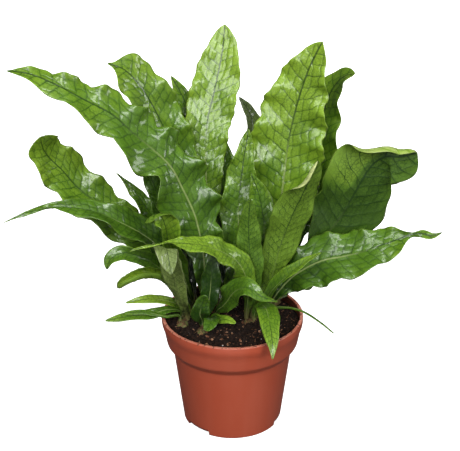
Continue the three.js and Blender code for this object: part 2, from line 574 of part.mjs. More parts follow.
const sockets = Object.values(FRONDS).map((frond) => ({ on: frond.on, solid: socketOf(frond) }));
place("pot", potGeometry(), PAINTS.pot);
place("soil", soilGeometry(Object.values(RHIZOMES).map(trenchSolid)), PAINTS.soil);
for (const [name, line] of Object.entries(RHIZOMES)) {
  const own = sockets.filter((s) => s.on === name).map((s) => s.solid);
  const stem = stemSolid(line, RHIZOME.radius, RHIZOME.level);
  const body = own.reduce((left, socket) => left.subtract(socket), stem);
  place(`rhizome_${name}`, toGeometry(body), PAINTS.rhizome);
}
for (const [name, frond] of Object.entries(FRONDS)) place(name, frondGeometry(frond), PAINTS.frond);

export default plant;
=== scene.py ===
# A crocodile fern in a nursery pot: the finished surfaces, made around the fixed frame.
# The frame is in metres, +Z up, with the pot standing on z = 0 and -Y to the front.
# The plant's own measures are in millimetres, and each piece ends in metres.
import math

import bpy
import numpy as np
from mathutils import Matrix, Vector


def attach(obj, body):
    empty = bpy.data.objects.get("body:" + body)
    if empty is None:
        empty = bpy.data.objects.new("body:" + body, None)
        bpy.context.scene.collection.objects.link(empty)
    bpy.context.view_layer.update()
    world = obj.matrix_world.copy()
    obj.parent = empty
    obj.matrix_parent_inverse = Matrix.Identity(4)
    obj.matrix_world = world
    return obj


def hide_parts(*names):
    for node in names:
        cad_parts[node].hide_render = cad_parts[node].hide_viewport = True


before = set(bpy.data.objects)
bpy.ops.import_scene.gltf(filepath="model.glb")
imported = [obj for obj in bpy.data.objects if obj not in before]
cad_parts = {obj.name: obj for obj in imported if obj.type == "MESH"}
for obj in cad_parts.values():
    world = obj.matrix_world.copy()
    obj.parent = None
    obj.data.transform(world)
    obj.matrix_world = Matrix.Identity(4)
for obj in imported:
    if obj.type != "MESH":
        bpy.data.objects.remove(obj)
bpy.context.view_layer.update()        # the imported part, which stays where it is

mm = 0.001


# Fields: node outputs that plain arithmetic builds on, in geometry and shader trees alike

class Field:
    def __init__(self, tree, socket):
        self.tree = tree
        self.socket = socket

    def __add__(self, other):
        return maths(self.tree, "ADD", self, other)

    def __sub__(self, other):
        return maths(self.tree, "SUBTRACT", self, other)

    def __rsub__(self, other):
        return maths(self.tree, "SUBTRACT", other, self)

    def __mul__(self, other):
        return maths(self.tree, "MULTIPLY", self, other)

    def __truediv__(self, other):
        return maths(self.tree, "DIVIDE", self, other)

    def __pow__(self, other):
        return maths(self.tree, "POWER", self, other)

    def __abs__(self):
        return maths(self.tree, "ABSOLUTE", self)

    __radd__ = __add__
    __rmul__ = __mul__


def feed(tree, value, slot):
    if isinstance(value, Field):
        tree.links.new(value.socket, slot)
    else:
        slot.default_value = value


def addNode(tree, kind, inputs=None, out=0, **settings):
    made = tree.nodes.new(kind)
    for key, value in settings.items():
        setattr(made, key, value)
    for key, value in (inputs or {}).items():
        feed(tree, value, made.inputs[key])
    return Field(tree, made.outputs[out])


def maths(tree, operation, *values):
    return addNode(tree, "ShaderNodeMath", dict(enumerate(values)), operation=operation)


def sine(angle):
    return maths(angle.tree, "SINE", angle)


def cosine(angle):
    return maths(angle.tree, "COSINE", angle)


def vectors(tree, operation, *values):
    return addNode(tree, "ShaderNodeVectorMath", dict(enumerate(values)), operation=operation)


def scaled(vector, amount):
    return addNode(vector.tree, "ShaderNodeVectorMath", {0: vector, "Scale": amount}, operation="SCALE")


def joined(tree, x, y, z):
    return addNode(tree, "ShaderNodeCombineXYZ", {0: x, 1: y, 2: z})


def others(field, *names):
    # more outputs of the node that gave this field
    outputs = field.socket.node.outputs
    return [Field(field.tree, outputs[name]) for name in names]


def split(vector):
    return others(addNode(vector.tree, "ShaderNodeSeparateXYZ", {0: vector}), "X", "Y", "Z")


def smooth(value, low, high, start=0.0, end=1.0):
    # eases from start to end while value goes from low to high
    inputs = {0: value, 1: low, 2: high, 3: start, 4: end}
    return addNode(value.tree, "ShaderNodeMapRange", inputs, interpolation_type="SMOOTHSTEP")


def jump(value, place, start=0.0, end=1.0):
    # goes from start to end where value passes the place
    return smooth(value, place - 0.0001, place + 0.0001, start, end)


def noiseAt(vector, scale, detail=2.0, out=0):
    inputs = {"Vector": vector, "Scale": scale, "Detail": detail}
    return addNode(vector.tree, "ShaderNodeTexNoise", inputs, out=out)


def drawAt(vector):
    return addNode(vector.tree, "ShaderNodeTexWhiteNoise", {"Vector": vector})


def centred(noise):
    # a noise's colour, from 0 to 1, as a push to either side
    return vectors(noise.tree, "SUBTRACT", noise, (0.5, 0.5, 0.5))


def mixed(factor, low, high):
    inputs = {0: factor, 6: low, 7: high}
    return addNode(factor.tree, "ShaderNodeMix", inputs, out=2, data_type="RGBA")


# Geometry trees: made here, run on a mesh, and turned into a plain mesh

def geometryTree(name, sizes):
    kinds = {int: "NodeSocketInt", float: "NodeSocketFloat", type(None): "NodeSocketMaterial"}
    tree = bpy.data.node_groups.new(name, "GeometryNodeTree")
    tree.interface.new_socket("Geometry", in_out="INPUT", socket_type="NodeSocketGeometry")
    for label, value in sizes.items():
        socket = tree.interface.new_socket(label, in_out="INPUT", socket_type=kinds[type(value)])
        if value is not None:
            socket.default_value = value
    tree.interface.new_socket("Geometry", in_out="OUTPUT", socket_type="NodeSocketGeometry")
    entry = tree.nodes.new("NodeGroupInput")
    return tree, {socket.name: Field(tree, socket) for socket in entry.outputs if socket.name}


def coated(geometry, material, where=True):
    inputs = {"Geometry": geometry, "Selection": where, "Material": material}
    return addNode(geometry.tree, "GeometryNodeSetMaterial", inputs)


def closeTree(geometry, *coats):
    # the end of every tree: real geometry, then its materials, each with where it goes
    tree = geometry.tree
    geometry = addNode(tree, "GeometryNodeRealizeInstances", {0: geometry})
    for coat in coats:
        geometry = coated(geometry, *coat)
    feed(tree, geometry, tree.nodes.new("NodeGroupOutput").inputs[0])
    return tree


def named(tree, name, kind="FLOAT_VECTOR"):
    return addNode(tree, "GeometryNodeInputNamedAttribute", {"Name": name}, data_type=kind)


def stored(geometry, name, value, kind="FLOAT_VECTOR", domain="POINT"):
    inputs = {"Geometry": geometry, "Name": name, "Value": value}
    return addNode(geometry.tree, "GeometryNodeStoreNamedAttribute", inputs, data_type=kind, domain=domain)


def meshPlace(tree):
    return addNode(tree, "GeometryNodeInputPosition")


def moved(geometry, **inputs):
    return addNode(geometry.tree, "GeometryNodeSetPosition", {"Geometry": geometry, **inputs})


def shadedSmooth(geometry):
    return addNode(geometry.tree, "GeometryNodeSetShadeSmooth", {0: geometry})


def smallBall(tree):
    return addNode(tree, "GeometryNodeMeshIcoSphere", {"Radius": 0.5, "Subdivisions": 1})


def scattered(mesh, **inputs):
    return addNode(mesh.tree, "GeometryNodeDistributePointsOnFaces", {"Mesh": mesh, **inputs})


def instanced(points, bit, rotation, scale):
    inputs = {"Points": points, "Instance": bit, "Rotation": rotation, "Scale": scale}
    return addNode(points.tree, "GeometryNodeInstanceOnPoints", inputs)


def randomVector(tree, low, high, seed):
    inputs = {0: low, 1: high, 8: seed}
    return addNode(tree, "FunctionNodeRandomValue", inputs, data_type="FLOAT_VECTOR")


def linked(name, data):
    made = bpy.data.objects.new(name, data)
    bpy.context.scene.collection.objects.link(made)
    return made


def grow(name, mesh, tree, values):
    piece = linked(name, mesh)
    modifier = piece.modifiers.new(tree.name, "NODES")
    modifier.node_group = tree
    for item in tree.interface.items_tree:
        if item.in_out == "INPUT" and item.name in values:
            value = values[item.name]
            isFloat = item.socket_type == "NodeSocketFloat"
            modifier[item.identifier] = float(value) if isFloat else value
    evaluated = piece.evaluated_get(bpy.context.evaluated_depsgraph_get())
    made = bpy.data.meshes.new_from_object(evaluated)
    piece.modifiers.remove(modifier)
    piece.data = made
    made.name = name
    return piece


def place(piece, slot, *nodes):
    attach(piece, "root")
    if nodes:
        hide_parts(*nodes)


def triangles(*pieces):
    return sum(len(face.vertices) - 2 for piece in pieces for face in piece.data.polygons)


def newMaterial(name, **uniform):
    # uniform values are set on the shader's own sockets
    material = bpy.data.materials.new(name)
    material.use_nodes = True
    tree = material.node_tree
    shader = tree.nodes["Principled BSDF"]
    for label, value in uniform.items():
        shader.inputs[label].default_value = value
    return material, tree, shader


def objectPlace(tree):
    return addNode(tree, "ShaderNodeTexCoord", out="Object")


def dress(shader, colour, height, strength, depth, roughness=None):
    # colour, relief and roughness onto a shader, the relief's depth in millimetres
    tree = colour.tree
    feed(tree, colour, shader.inputs["Base Color"])
    if roughness:
        feed(tree, roughness, shader.inputs["Roughness"])
    inputs = {"Strength": strength, "Distance": depth * mm, "Height": height}
    feed(tree, addNode(tree, "ShaderNodeBump", inputs), shader.inputs["Normal"])


# The blade's vein net, the same for the relief and for the colours. Places are counted in side
# vein spacings: along the midrib, across it, and the frond's own draw.

veinNetSizes = {
    "sweep": 0.55, "curve": 0.09, "cross spacing": 0.6, "wander": 0.4, "wander scale": 0.8,
    "zigzag": 0.28, "zigzag scale": 2.3, "slant": 0.5, "fine scale": 4.2, "cell tilt": 1.4,
    "half offset": 0.25, "row shift": 7.0,
}


def veinNet(spot):
    tree = spot.tree
    sizes = veinNetSizes
    along, across, draw = split(spot)
    reach = abs(across)
    side = maths(tree, "SIGN", across)
    drift = scaled(noiseAt(spot, sizes["wander scale"], out=1), sizes["wander"])
    jolt = scaled(noiseAt(spot, sizes["zigzag scale"], detail=1.0, out=1), sizes["zigzag"])
    driftAlong, driftAcross, _ = split(vectors(tree, "ADD", drift, jolt))
    bend = reach * sizes["sweep"]
    rank = along - bend - reach * reach * sizes["curve"] + side * sizes["half offset"] + driftAlong
    row = maths(tree, "FLOOR", rank)
    sideVein = 0.5 - abs(rank - row - 0.5)
    rowDraw = drawAt(joined(tree, row, side, draw))
    slant = (rank - row - 0.5) * (rowDraw - 0.5) * sizes["slant"]
    span = (reach + driftAcross + slant) / sizes["cross spacing"] + rowDraw * sizes["row shift"]
    step = maths(tree, "FLOOR", span)
    crossVein = (0.5 - abs(span - step - 0.5)) * sizes["cross spacing"]
    cell = drawAt(joined(tree, row, step, side + draw))
    lean = drawAt(joined(tree, step, row, side - draw))
    # each cell lies a little askew, so that it shines apart from its neighbours
    tilt = (rank - row - 0.5) * (cell - 0.5) + (span - step - 0.5) * (lean - 0.5)
    return sideVein, crossVein, cell, tilt * sizes["cell tilt"]


# Leaves: glossy above, with dark sunken veins, and matte and paler below

# The midrib colour is a pale green with a painted highlight of the raised ridge in it.
leafLook = {
    "deep": (0.014, 0.048, 0.003, 1), "mid": (0.080, 0.18, 0.010, 1), "fresh": (0.25, 0.41, 0.028, 1),
    "vein": (0.009, 0.034, 0.004, 1), "midrib": (0.26, 0.33, 0.11, 1), "stalk": (0.16, 0.13, 0.05, 1),
    "rim": (0.27, 0.40, 0.07, 1), "under": (0.10, 0.19, 0.02, 1), "faded": (0.55, 0.62, 0.24, 1),
}
greyLook = {  # an old frond's own colours
    "deep": (0.04, 0.07, 0.01, 1), "mid": (0.13, 0.19, 0.035, 1), "fresh": (0.24, 0.32, 0.10, 1),
    "rim": (0.58, 0.60, 0.34, 1), "under": (0.16, 0.22, 0.05, 1), "midrib": (0.33, 0.30, 0.14, 1),
}
leafSides = {  # each side's gloss, the shade that comes over an age, and how strongly its veins show
    "upper": {
        "gloss": {"Coat Weight": 0.85, "Coat Roughness": 0.17, "Specular IOR Level": 0.3},
        "roughness": 0.45, "late shade": "faded", "over age": (1.5, 2.0, 0.0, 1.0),
        "fine veins": 0.4, "cross veins": 0.5, "side veins": 0.7,
        "pale midrib and painted sheen": 0.8, "dark midrib from": 0.5,
    },
    "lower": {
        "gloss": {"Specular IOR Level": 0.2},
        "roughness": 0.6, "late shade": "under", "over age": (-0.3, 1.2, 0.25, 0.7),
        "fine veins": 0.6, "cross veins": 0.65, "side veins": 0.95,
        "pale midrib and painted sheen": 0.15, "dark midrib from": 0.2,
    },
}
# The along term darkens the green towards the foot, partly older tissue and partly painted shade where the
# fronds crowd at the centre.
leafAgeAndShade = {  # what ages and shades the green, and the values over which it turns mid and fresh
    "along": 0.6, "cloud": 0.5, "cell": 0.12, "margin": 0.1, "mid": (-0.1, 0.5), "fresh": (0.4, 1.05),
}


def leafMaterial(name, sideName, **own):
    look = {**leafLook, **own}
    side = leafSides[sideName]
    material, tree, shader = newMaterial(name, **side["gloss"])
    spot = addNode(tree, "ShaderNodeAttribute", out="Vector", attribute_name="veinSpot")
    shape = addNode(tree, "ShaderNodeAttribute", out="Vector", attribute_name="bladeSpot")
    t, margin, tone = split(shape)
    _, across, _ = split(spot)
    sideVein, crossVein, cell, _ = veinNet(spot)
    drift = noiseAt(spot, 0.5, detail=3.0)
    inputs = {"Vector": spot, "Scale": veinNetSizes["fine scale"]}
    fine = addNode(tree, "ShaderNodeTexVoronoi", inputs, feature="DISTANCE_TO_EDGE")
    # green goes from deep at the foot to fresh at the tip and the margin, the deep foot partly painted
    # shade
    # painted shade and highlight on each puffed cell: lighter on its top, darker into the veins
    paintedPuffShade = smooth(maths(tree, "MINIMUM", sideVein, crossVein * 1.4), 0.0, 0.22, -0.08, 0.06)
    ageAndShade = tone + (t - 0.5) * leafAgeAndShade["along"] + (drift - 0.5) * leafAgeAndShade["cloud"]
    ageAndShade = ageAndShade + (cell - 0.5) * leafAgeAndShade["cell"] + paintedPuffShade + smooth(margin, 0.6, 1.0) * leafAgeAndShade["margin"]
    green = mixed(smooth(ageAndShade, *leafAgeAndShade["mid"]), look["deep"], look["mid"])
    green = mixed(smooth(ageAndShade, *leafAgeAndShade["fresh"]), green, look["fresh"])
    green = mixed(smooth(ageAndShade, *side["over age"]), green, look[side["late shade"]])
    # veins, fine to coarse
    clear = smooth(margin, 1.0, 0.6, 0.35, 1.0) * smooth(noiseAt(spot, 0.6), 0.25, 0.6, 0.4, 1.0)
    for vein, wide, thin, kind in (
            (fine, 0.12, 0.0, "fine veins"), (crossVein, 0.05, 0.01, "cross veins"),
            (sideVein, 0.055, 0.012, "side veins")):
        green = mixed(smooth(vein, wide, thin, 0.0, side[kind]) * clear, green, look["vein"])
    # the midrib is pale at first, its own colour with a painted highlight along the raised ridge, and dark
    # towards the tip
    rib = smooth(abs(across), 0.1, 0.04)
    green = mixed(rib * smooth(t, 0.7, 0.45, 0.0, side["pale midrib and painted sheen"]), green, look["midrib"])
    green = mixed(rib * smooth(t, side["dark midrib from"], 0.75) * 0.8, green, look["vein"])
    green = mixed(smooth(margin, 0.965, 0.995, 0.0, 0.6), green, look["rim"])
    green = mixed(smooth(t, 0.13, 0.02, 0.0, 0.8), green, look["stalk"])
    grain = noiseAt(spot, 14.0, detail=3.0)
    height = smooth(fine, 0.0, 0.12) * 0.25 + grain * 0.15 + smooth(crossVein, 0.0, 0.07) * 0.5
    dress(shader, green, height, 0.5, 0.35, (drift - 0.5) * 0.2 + side["roughness"])
    return material


# Fronds. Each has the rhizome it springs from and the place on it, its midrib from above the collar
# to the tip, and the way its upper side faces from the foot to the tip. Its outline has a greatest
# width and where that falls (0 foot, 1 tip), powers that narrow it to the foot (base) and to the
# tip (tip), a waist (place, reach, depth) and lobes. The margin has waves of a height (ruffle),
# calmer on the left half (calm). The halves are folded (keel) and rolled (roll) in degrees, the roll
# between two places (curl), on one half if curled is 1. The tone and shade goes from about 0 deep to
# 1 fresh: the frond's own green, with painted shade in the low values of the fronds deep in the
# plant. Faded 1 pales the upper side where that half is rolled.

rhizomes = {
    "left": [(-42, -10), (-34, 26)],
    "centre": [(-26, -24), (-17, -2), (-8, 40)],
    "right": [(12, -8), (28, 10), (38, 30)],
}
rhizomeSizes = {"radius": 6, "level": 89.5, "row offset": 3, "first place": 3, "place step": 3.2}
bladeSizes = {
    "foot level": 91.6, "collar": 99, "foot half width": 1.7, "foot half thickness": 1.2,
    "half thickness": 0.28, "rib": 0.4, "tip half width": 0.7, "cell": 1.15, "quilt": 0.4, "swell": 1.8,
    "crimps a wave": 2.7, "crimp height": 0.22, "crimp width": 0.025, "merge distance": 0.015,
}
usualFrond = dict(calm=1, lobe=0.06, phase=0, base=1.5, tip=0.85, waist=(0.5, 0.1, 0), keel=10, roll=0,
                  curl=(0.1, 0.7), curled=0, faded=0)
fronds = {  # each frond's own values, where they aren't the usual ones
    # Left side, upper side to the front
    "left_long": dict(
        on="centre", place=6, width=46, widest=0.42, waves=10.2, calm=0.62, ruffle=4.5, lobe=0.19,
        phase=1.6, base=1.8, waist=(0.51, 0.04, 0.25), keel=8, tone=0.35,
        midrib=[(-24, -2, 153), (-26, -4, 169), (-31, -7, 193), (-40, -10, 216), (-49, -15, 237),
                (-63, -18, 253), (-78, -21, 268), (-92, -24, 283), (-112, -26, 295), (-134, -27, 308),
                (-152, -25, 315), (-171, -22, 317)],
        face=[(0, -1, 0.2), (0.3, -0.8, 0.5), (0.1, -0.7, 0.7)],
    ),
    "left_upper": dict(
        on="centre", place=10, width=41, widest=0.74, waves=7, ruffle=4, lobe=0.08, phase=2, tip=0.3,
        waist=(0.99, 0.05, 0.85), tone=0.4,
        midrib=[(-28, 13, 151), (-38, 16, 205), (-54, 12, 257), (-70, 5, 293), (-84, -2, 312),
                (-96, -5, 318)],
        face=[(0.1, -1, 0.1), (0.2, -0.9, 0.3), (0.3, -0.7, 0.6)],
    ),
    "left_narrow": dict(
        on="centre", place=12, width=34, widest=0.5, waves=6, ruffle=3, phase=1, base=1.4, tip=0.8,
        keel=12, tone=0.35,
        midrib=[(-20, 27, 130), (-27, 37, 165), (-31, 42, 230), (-38, 44, 268), (-50, 42, 294)],
        face=[(0, -1, 0), (0.2, -1, 0.1), (0.3, -0.8, 0.5)],
    ),
    "left_olive": dict(
        on="left", place=8, width=38, widest=0.75, waves=6, ruffle=3.5, lobe=0.12, base=1.0, tip=0.25,
        keel=8, tone=0.5,
        midrib=[(-50, 15, 130), (-76, 19, 157), (-92, 20, 172), (-113, 19, 192), (-128, 18, 206),
                (-139, 15, 222), (-147, 11, 233), (-151, 4, 244), (-152, -4, 258)],
        face=[(0.3, -0.9, 0.4), (0.3, -0.8, 0.5), (0.4, -0.8, 0.4)],
    ),
    "left_arching": dict(
        on="left", place=6, width=30, widest=0.42, waves=5, ruffle=2.5, phase=1, base=1.0, tip=2, keel=26,
        tone=0.25,
        midrib=[(-50, 11, 137), (-67, 5, 163), (-89, -7, 184), (-114, -15, 199), (-141, -21, 205),
                (-162, -26, 202), (-181, -30, 195)],
        face=[(0.3, -0.7, 0.6), (0.2, -0.6, 0.8), (0, -0.7, 0.7)],
    ),
    "left_pointed": dict(
        on="left", place=10, width=24, widest=0.5, waves=4, ruffle=2.5, phase=2, base=1.0, tip=1.5,
        keel=14, tone=0.3,
        midrib=[(-52, 37, 145), (-70, 40, 173), (-84, 41, 194), (-98, 41, 210)],
        face=[(0.2, -1, 0.2), (0.3, -0.9, 0.3), (0.4, -0.8, 0.4)],
    ),
    "left_dark": dict(
        on="left", place=9, width=22, widest=0.5, waves=5, ruffle=2, base=1.6, tip=1.2, tone=0.15,
        midrib=[(-36, 24, 122), (-43, 24, 155), (-58, 25, 185), (-67, 24, 211), (-73, 19, 231),
                (-84, 15, 245)],
        face=[(0.2, -1, 0.1), (0.2, -0.9, 0.3), (0.3, -0.8, 0.5)],
    ),
    "left_cupped": dict(
        on="left", place=7, width=28, widest=0.66, waves=3, ruffle=1.5, phase=1, base=3, tip=0.5, keel=14,
        roll=70, tone=0.5,
        midrib=[(-41, 4, 132), (-51, -14, 166), (-54, -24, 190), (-57, -30, 201), (-63, -33, 203),
                (-69, -34, 197)],
        face=[(0, -1, 0.2), (0, -0.9, 0.3), (0.7, -0.2, -0.5)],
    ),
    "left_curled": dict(
        on="left", place=5, width=16, widest=0.75, waves=3, ruffle=1, base=1.0, tip=0.4, keel=12, roll=30,
        tone=0.2,
        midrib=[(-50, -1, 127), (-63, -12, 149), (-77, -22, 163), (-88, -28, 168), (-97, -31, 164),
                (-101, -32, 155)],
        face=[(0, -0.8, 0.5), (0.2, -0.6, 0.7), (-0.7, -0.5, -0.2)],
    ),
    "left_rolled": dict(
        on="left", place=3, width=24, widest=0.7, waves=2, ruffle=0.5, tip=0.3, keel=0, roll=150,
        tone=0.75,
        midrib=[(-47, -8, 121), (-60, -21, 141), (-73, -33, 149), (-84, -40, 148), (-92, -43, 144)],
        face=[(0.3, -0.8, 0.4), (0.2, -0.4, 0.9), (0, -0.5, 0.8)],
    ),
    "left_grey": dict(
        on="left", place=1, width=23, widest=0.8, waves=3, ruffle=1.5, tip=0.9, keel=8, tone=0.6,
        midrib=[(-43, -25, 126), (-49, -37, 158), (-53, -44, 176), (-52, -50, 182), (-50, -54, 175),
                (-48, -56, 162)],
        face=[(0.1, 1, 0.2), (0.2, 0.9, 0.4), (0.2, -0.6, 0.5)],
    ),
    "low_green": dict(
        on="left", place=2, width=11, widest=0.6, waves=2, ruffle=1, keel=14, tone=0.4,
        midrib=[(-54, -7, 105), (-69, -12, 103), (-86, -15, 103), (-106, -19, 101)],
        face=[(0, -0.5, 0.9), (0, -0.6, 0.8), (0, -0.7, 0.7)],
    ),
    "low_yellow": dict(
        on="left", place=4, width=10, widest=0.5, waves=2, ruffle=0.8, phase=2, keel=14, tone=0.8,
        midrib=[(-52, -1, 109), (-70, -3, 113), (-90, -4, 110)],
        face=[(0, -0.5, 0.9), (0, -0.6, 0.8), (0, -0.7, 0.7)],
    ),
    "low_thin": dict(
        on="left", place=0, width=6, widest=0.8, waves=1, ruffle=0.3, base=3, keel=8, tone=0.3,
        midrib=[(-56, -15, 103), (-73, -15, 107), (-91, -15, 106)],
        face=[(0, -0.5, 0.9), (0, -0.6, 0.8), (0, -0.7, 0.7)],
    ),
    # Middle
    "centre_tall": dict(
        on="centre", place=11, width=41, widest=0.76, waves=8, ruffle=2, lobe=0.03, base=2.3, tip=0.6,
        keel=8, tone=0.6,
        midrib=[(-14, 20, 130), (-19, 26, 162), (-22, 30, 209), (-21, 35, 253), (-14, 40, 285),
                (-8, 43, 315), (-6, 44, 336)],
        face=[(0, -1, 0.1), (0.1, -1, 0.2), (-0.1, -0.9, 0.4)],
    ),
    "centre_shaded": dict(
        on="centre", place=15, width=30, widest=0.6, waves=5, ruffle=2.5, phase=1, base=1.0, keel=8,
        tone=0.2,
        midrib=[(-3, 40, 153), (-5, 49, 191), (-12, 55, 225), (-17, 60, 255)],
        face=[(0.1, -1, 0.1), (0.1, -1, 0.2), (0.2, -0.9, 0.4)],
    ),
    "centre_glossy": dict(
        on="centre", place=9, width=32, widest=0.55, waves=5, ruffle=2.5, tone=0.4,
        midrib=[(-2, 10, 118), (5, 15, 147), (5, 18, 185), (8, 18, 221), (13, 16, 258)],
        face=[(0.4, -1, 0.1), (0, -1, 0.2), (0, -0.9, 0.5)],
    ),
    "centre_inner": dict(
        on="right", place=6, width=27, widest=0.6, waves=4, ruffle=2, phase=2, keel=14, tone=0.3,
        midrib=[(26, 10, 140), (26, 9, 175), (22, 7, 202), (15, 4, 224)],
        face=[(0, -1, 0.2), (0, -1, 0.3), (0.2, -0.8, 0.6)],
    ),
    "centre_strap": dict(
        on="centre", place=4, width=18, widest=0.5, waves=3, ruffle=1.2, keel=12, tone=-0.1,
        midrib=[(-19, -10, 120), (-17, -13, 145), (-15, -15, 168)],
        face=[(0.1, -1, 0.1), (0.1, -1, 0.2), (0.1, -0.9, 0.4)],
    ),
    "front_matte": dict(
        on="right", place=2, width=23, widest=0.52, waves=4, ruffle=1.5, tip=0.7, tone=0.35,
        midrib=[(16, -6, 132), (14, -10, 160), (13, -15, 188), (14, -21, 212)],
        face=[(0, 1, 0.2), (0.1, 1, 0.1), (0, 0.9, 0.5)],
    ),
    "front_folded": dict(
        on="right", place=4, width=33, widest=0.6, waves=4, ruffle=2, phase=1, tip=0.5, keel=14,
        roll=-140, curl=(0.78, 0.92), curled=1, tone=0.95, faded=1,
        midrib=[(31, 4, 123), (39, -1, 160), (47, -9, 189), (57, -20, 220), (66, -29, 247)],
        face=[(0.1, 1, 0.2), (0.1, 0.9, 0.3), (-0.3, 0.7, 0.6)],
    ),
    "front_arching": dict(
        on="right", place=0, width=23, widest=0.5, waves=5, ruffle=2, phase=1, tip=2.2,
        waist=(0.86, 0.14, 0.75), tone=0.72,
        midrib=[(13, -10, 128), (5, -19, 154), (-14, -34, 174), (-33, -46, 184), (-52, -57, 190),
                (-67, -63, 190), (-79, -66, 187)],
        face=[(-0.4, -1, 0.3), (0.2, -0.6, 0.8), (0, -0.5, 0.9)],
    ),
    "front_arched": dict(
        on="centre", place=7, width=23, widest=0.5, waves=3, ruffle=1.5, base=2.2, tip=1.6, tone=0.3,
        midrib=[(-6, -12, 113), (3, -25, 132), (12, -33, 139), (23, -36, 133), (37, -33, 126)],
        face=[(-0.6, -0.7, 0.3), (0, -0.7, 0.7), (0.3, -0.7, 0.7)],
    ),
    "front_hanging": dict(
        on="right", place=1, width=19, widest=0.6, waves=2, ruffle=1, tip=1.3, keel=12, tone=0.5,
        midrib=[(23, -12, 111), (27, -26, 117), (30, -46, 114), (32, -62, 103), (32, -67, 92)],
        face=[(0, -0.7, 0.7), (0, -0.3, 1), (0, -1, 0)],
    ),
    "soil_left": dict(
        on="centre", place=2, width=17, widest=0.55, waves=2, ruffle=1, tip=0.7, keel=12, tone=0.0,
        midrib=[(-27, -19, 107), (-25, -22, 119), (-22, -26, 129)],
        face=[(0.2, -1, 0.2), (0.2, -1, 0.3), (0.2, -0.8, 0.6)],
    ),
    "soil_middle": dict(
        on="centre", place=3, width=14, widest=0.6, waves=1, ruffle=0.5, tip=0.5, keel=14, tone=0.15,
        midrib=[(-17, -19, 103), (-18, -27, 103), (-22, -33, 99)],
        face=[(0, -0.5, 0.9), (0, -0.3, 1), (-0.2, -0.6, 0.8)],
    ),
    "soil_right": dict(
        on="centre", place=5, width=10, widest=0.6, waves=1, ruffle=0.5, keel=14, tone=0.6,
        midrib=[(-11, -16, 101), (-4, -23, 104), (3, -27, 103)],
        face=[(-0.4, -0.5, 0.8), (0, -0.6, 0.8), (0, -0.7, 0.7)],
    ),
    # Right side
    "right_wide": dict(
        on="right", place=8, width=62, widest=0.58, waves=8, ruffle=3, base=1.2, tip=0.7, keel=8,
        tone=0.65,
        midrib=[(37, 30, 149), (42, 34, 197), (46, 33, 238), (52, 28, 273), (61, 21, 307), (70, 14, 330)],
        face=[(0, -1, 0.1), (-0.15, -1, 0.2), (-0.3, -0.9, 0.3)],
    ),
    "right_rear": dict(
        on="right", place=11, width=40, widest=0.55, waves=7, ruffle=3, phase=1, tip=0.5, tone=0.4,
        midrib=[(51, 50, 150), (68, 62, 203), (76, 66, 247), (83, 66, 273), (92, 61, 287), (101, 54, 292)],
        face=[(-0.2, -1, 0.1), (-0.3, -1, 0.2), (-0.4, -0.5, 0.8)],
    ),
    "right_hooked": dict(
        on="right", place=9, width=58, widest=0.6, waves=3, calm=0.88, ruffle=2.5, lobe=0.12, phase=3.05,
        base=6, tip=0.25, keel=4, roll=-130, curl=(0.79, 0.89), curled=1, tone=-0.15, faded=1,
        midrib=[(51, 25, 120), (64, 24, 139), (75, 22, 157), (86, 19, 172), (94, 15, 188), (101, 9, 207),
                (109, 4, 226), (115, 1, 235), (122, -3, 241), (133, -6, 242), (146, -8, 246)],
        face=[(0, 0.9, 0.2), (0.1, 0.9, 0.2), (0.15, 0.85, 0.1), (0.1, 0.9, 0), (0, 0.9, 0)],
    ),
    "right_low": dict(
        on="right", place=7, width=43, widest=0.42, waves=6, ruffle=3, lobe=0.08, phase=2, base=2.2,
        tip=1.2, waist=(0.86, 0.08, 0.85), keel=8, tone=0.3,
        midrib=[(45, 8, 122), (58, 4, 136), (75, 1, 147), (93, -1, 152), (107, -3, 157), (118, -4, 162),
                (128, -5, 166), (137, -5, 170), (146, -6, 174), (154, -6, 175), (163, -7, 173),
                (171, -8, 177)],
        face=[(-0.3, -0.7, 0.6), (0, -0.75, 0.65), (0, -0.8, 0.6)],
    ),
    "right_bright": dict(
        on="right", place=3, width=16, widest=0.55, waves=2, ruffle=1, tip=1.3, keel=40, tone=0.5,
        midrib=[(33, -6, 122), (47, -14, 142), (60, -19, 156), (72, -23, 166)],
        face=[(-0.4, -0.8, 0.5), (-0.2, -0.6, 0.8), (0, -0.6, 0.8)],
    ),
    "right_strap": dict(
        on="right", place=5, width=3.6, widest=0.4, waves=1, ruffle=0, keel=0, tone=0.3,
        midrib=[(45, -3, 105), (59, -14, 107), (73, -24, 102), (84, -30, 95)],
        face=[(0, -0.5, 0.9), (0.2, -0.5, 0.9), (0.5, -0.4, 0.8)],
    ),
    # Behind the middle, mostly or wholly hidden from the front
    "rear_grey": dict(
        on="right", place=10, width=30, widest=0.6, waves=5, ruffle=2.5, tone=0.3,
        midrib=[(25, 42, 130), (23, 60, 180), (21, 70, 222), (15, 72, 251), (5, 68, 268)],
        face=[(0, -1, 0), (0, -1, 0.2), (0.5, -0.6, 0.7)],
    ),
    "rear_right_tall": dict(
        on="right", place=12, width=36, widest=0.55, waves=6, ruffle=3, phase=2, tone=0.4,
        midrib=[(38, 54, 130), (46, 86, 170), (58, 116, 188), (70, 144, 182)],
        face=[(-0.2, -0.9, 0.4), (-0.2, -0.7, 0.7), (0, 0, 1)],
    ),
    "rear_right_low": dict(
        on="right", place=13, width=32, widest=0.5, waves=5, ruffle=3, phase=1, keel=12, tone=0.4,
        midrib=[(58, 36, 107), (84, 50, 119), (108, 64, 115), (125, 80, 99)],
        face=[(-0.4, -0.4, 0.8), (-0.1, -0.2, 1), (0.3, 0.1, 1)],
    ),
    "rear_left_wide": dict(
        on="centre", place=14, width=36, widest=0.5, waves=6, ruffle=3, base=2.2, tone=0.4,
        midrib=[(-38, 46, 128), (-64, 66, 147), (-92, 82, 145), (-114, 96, 125)],
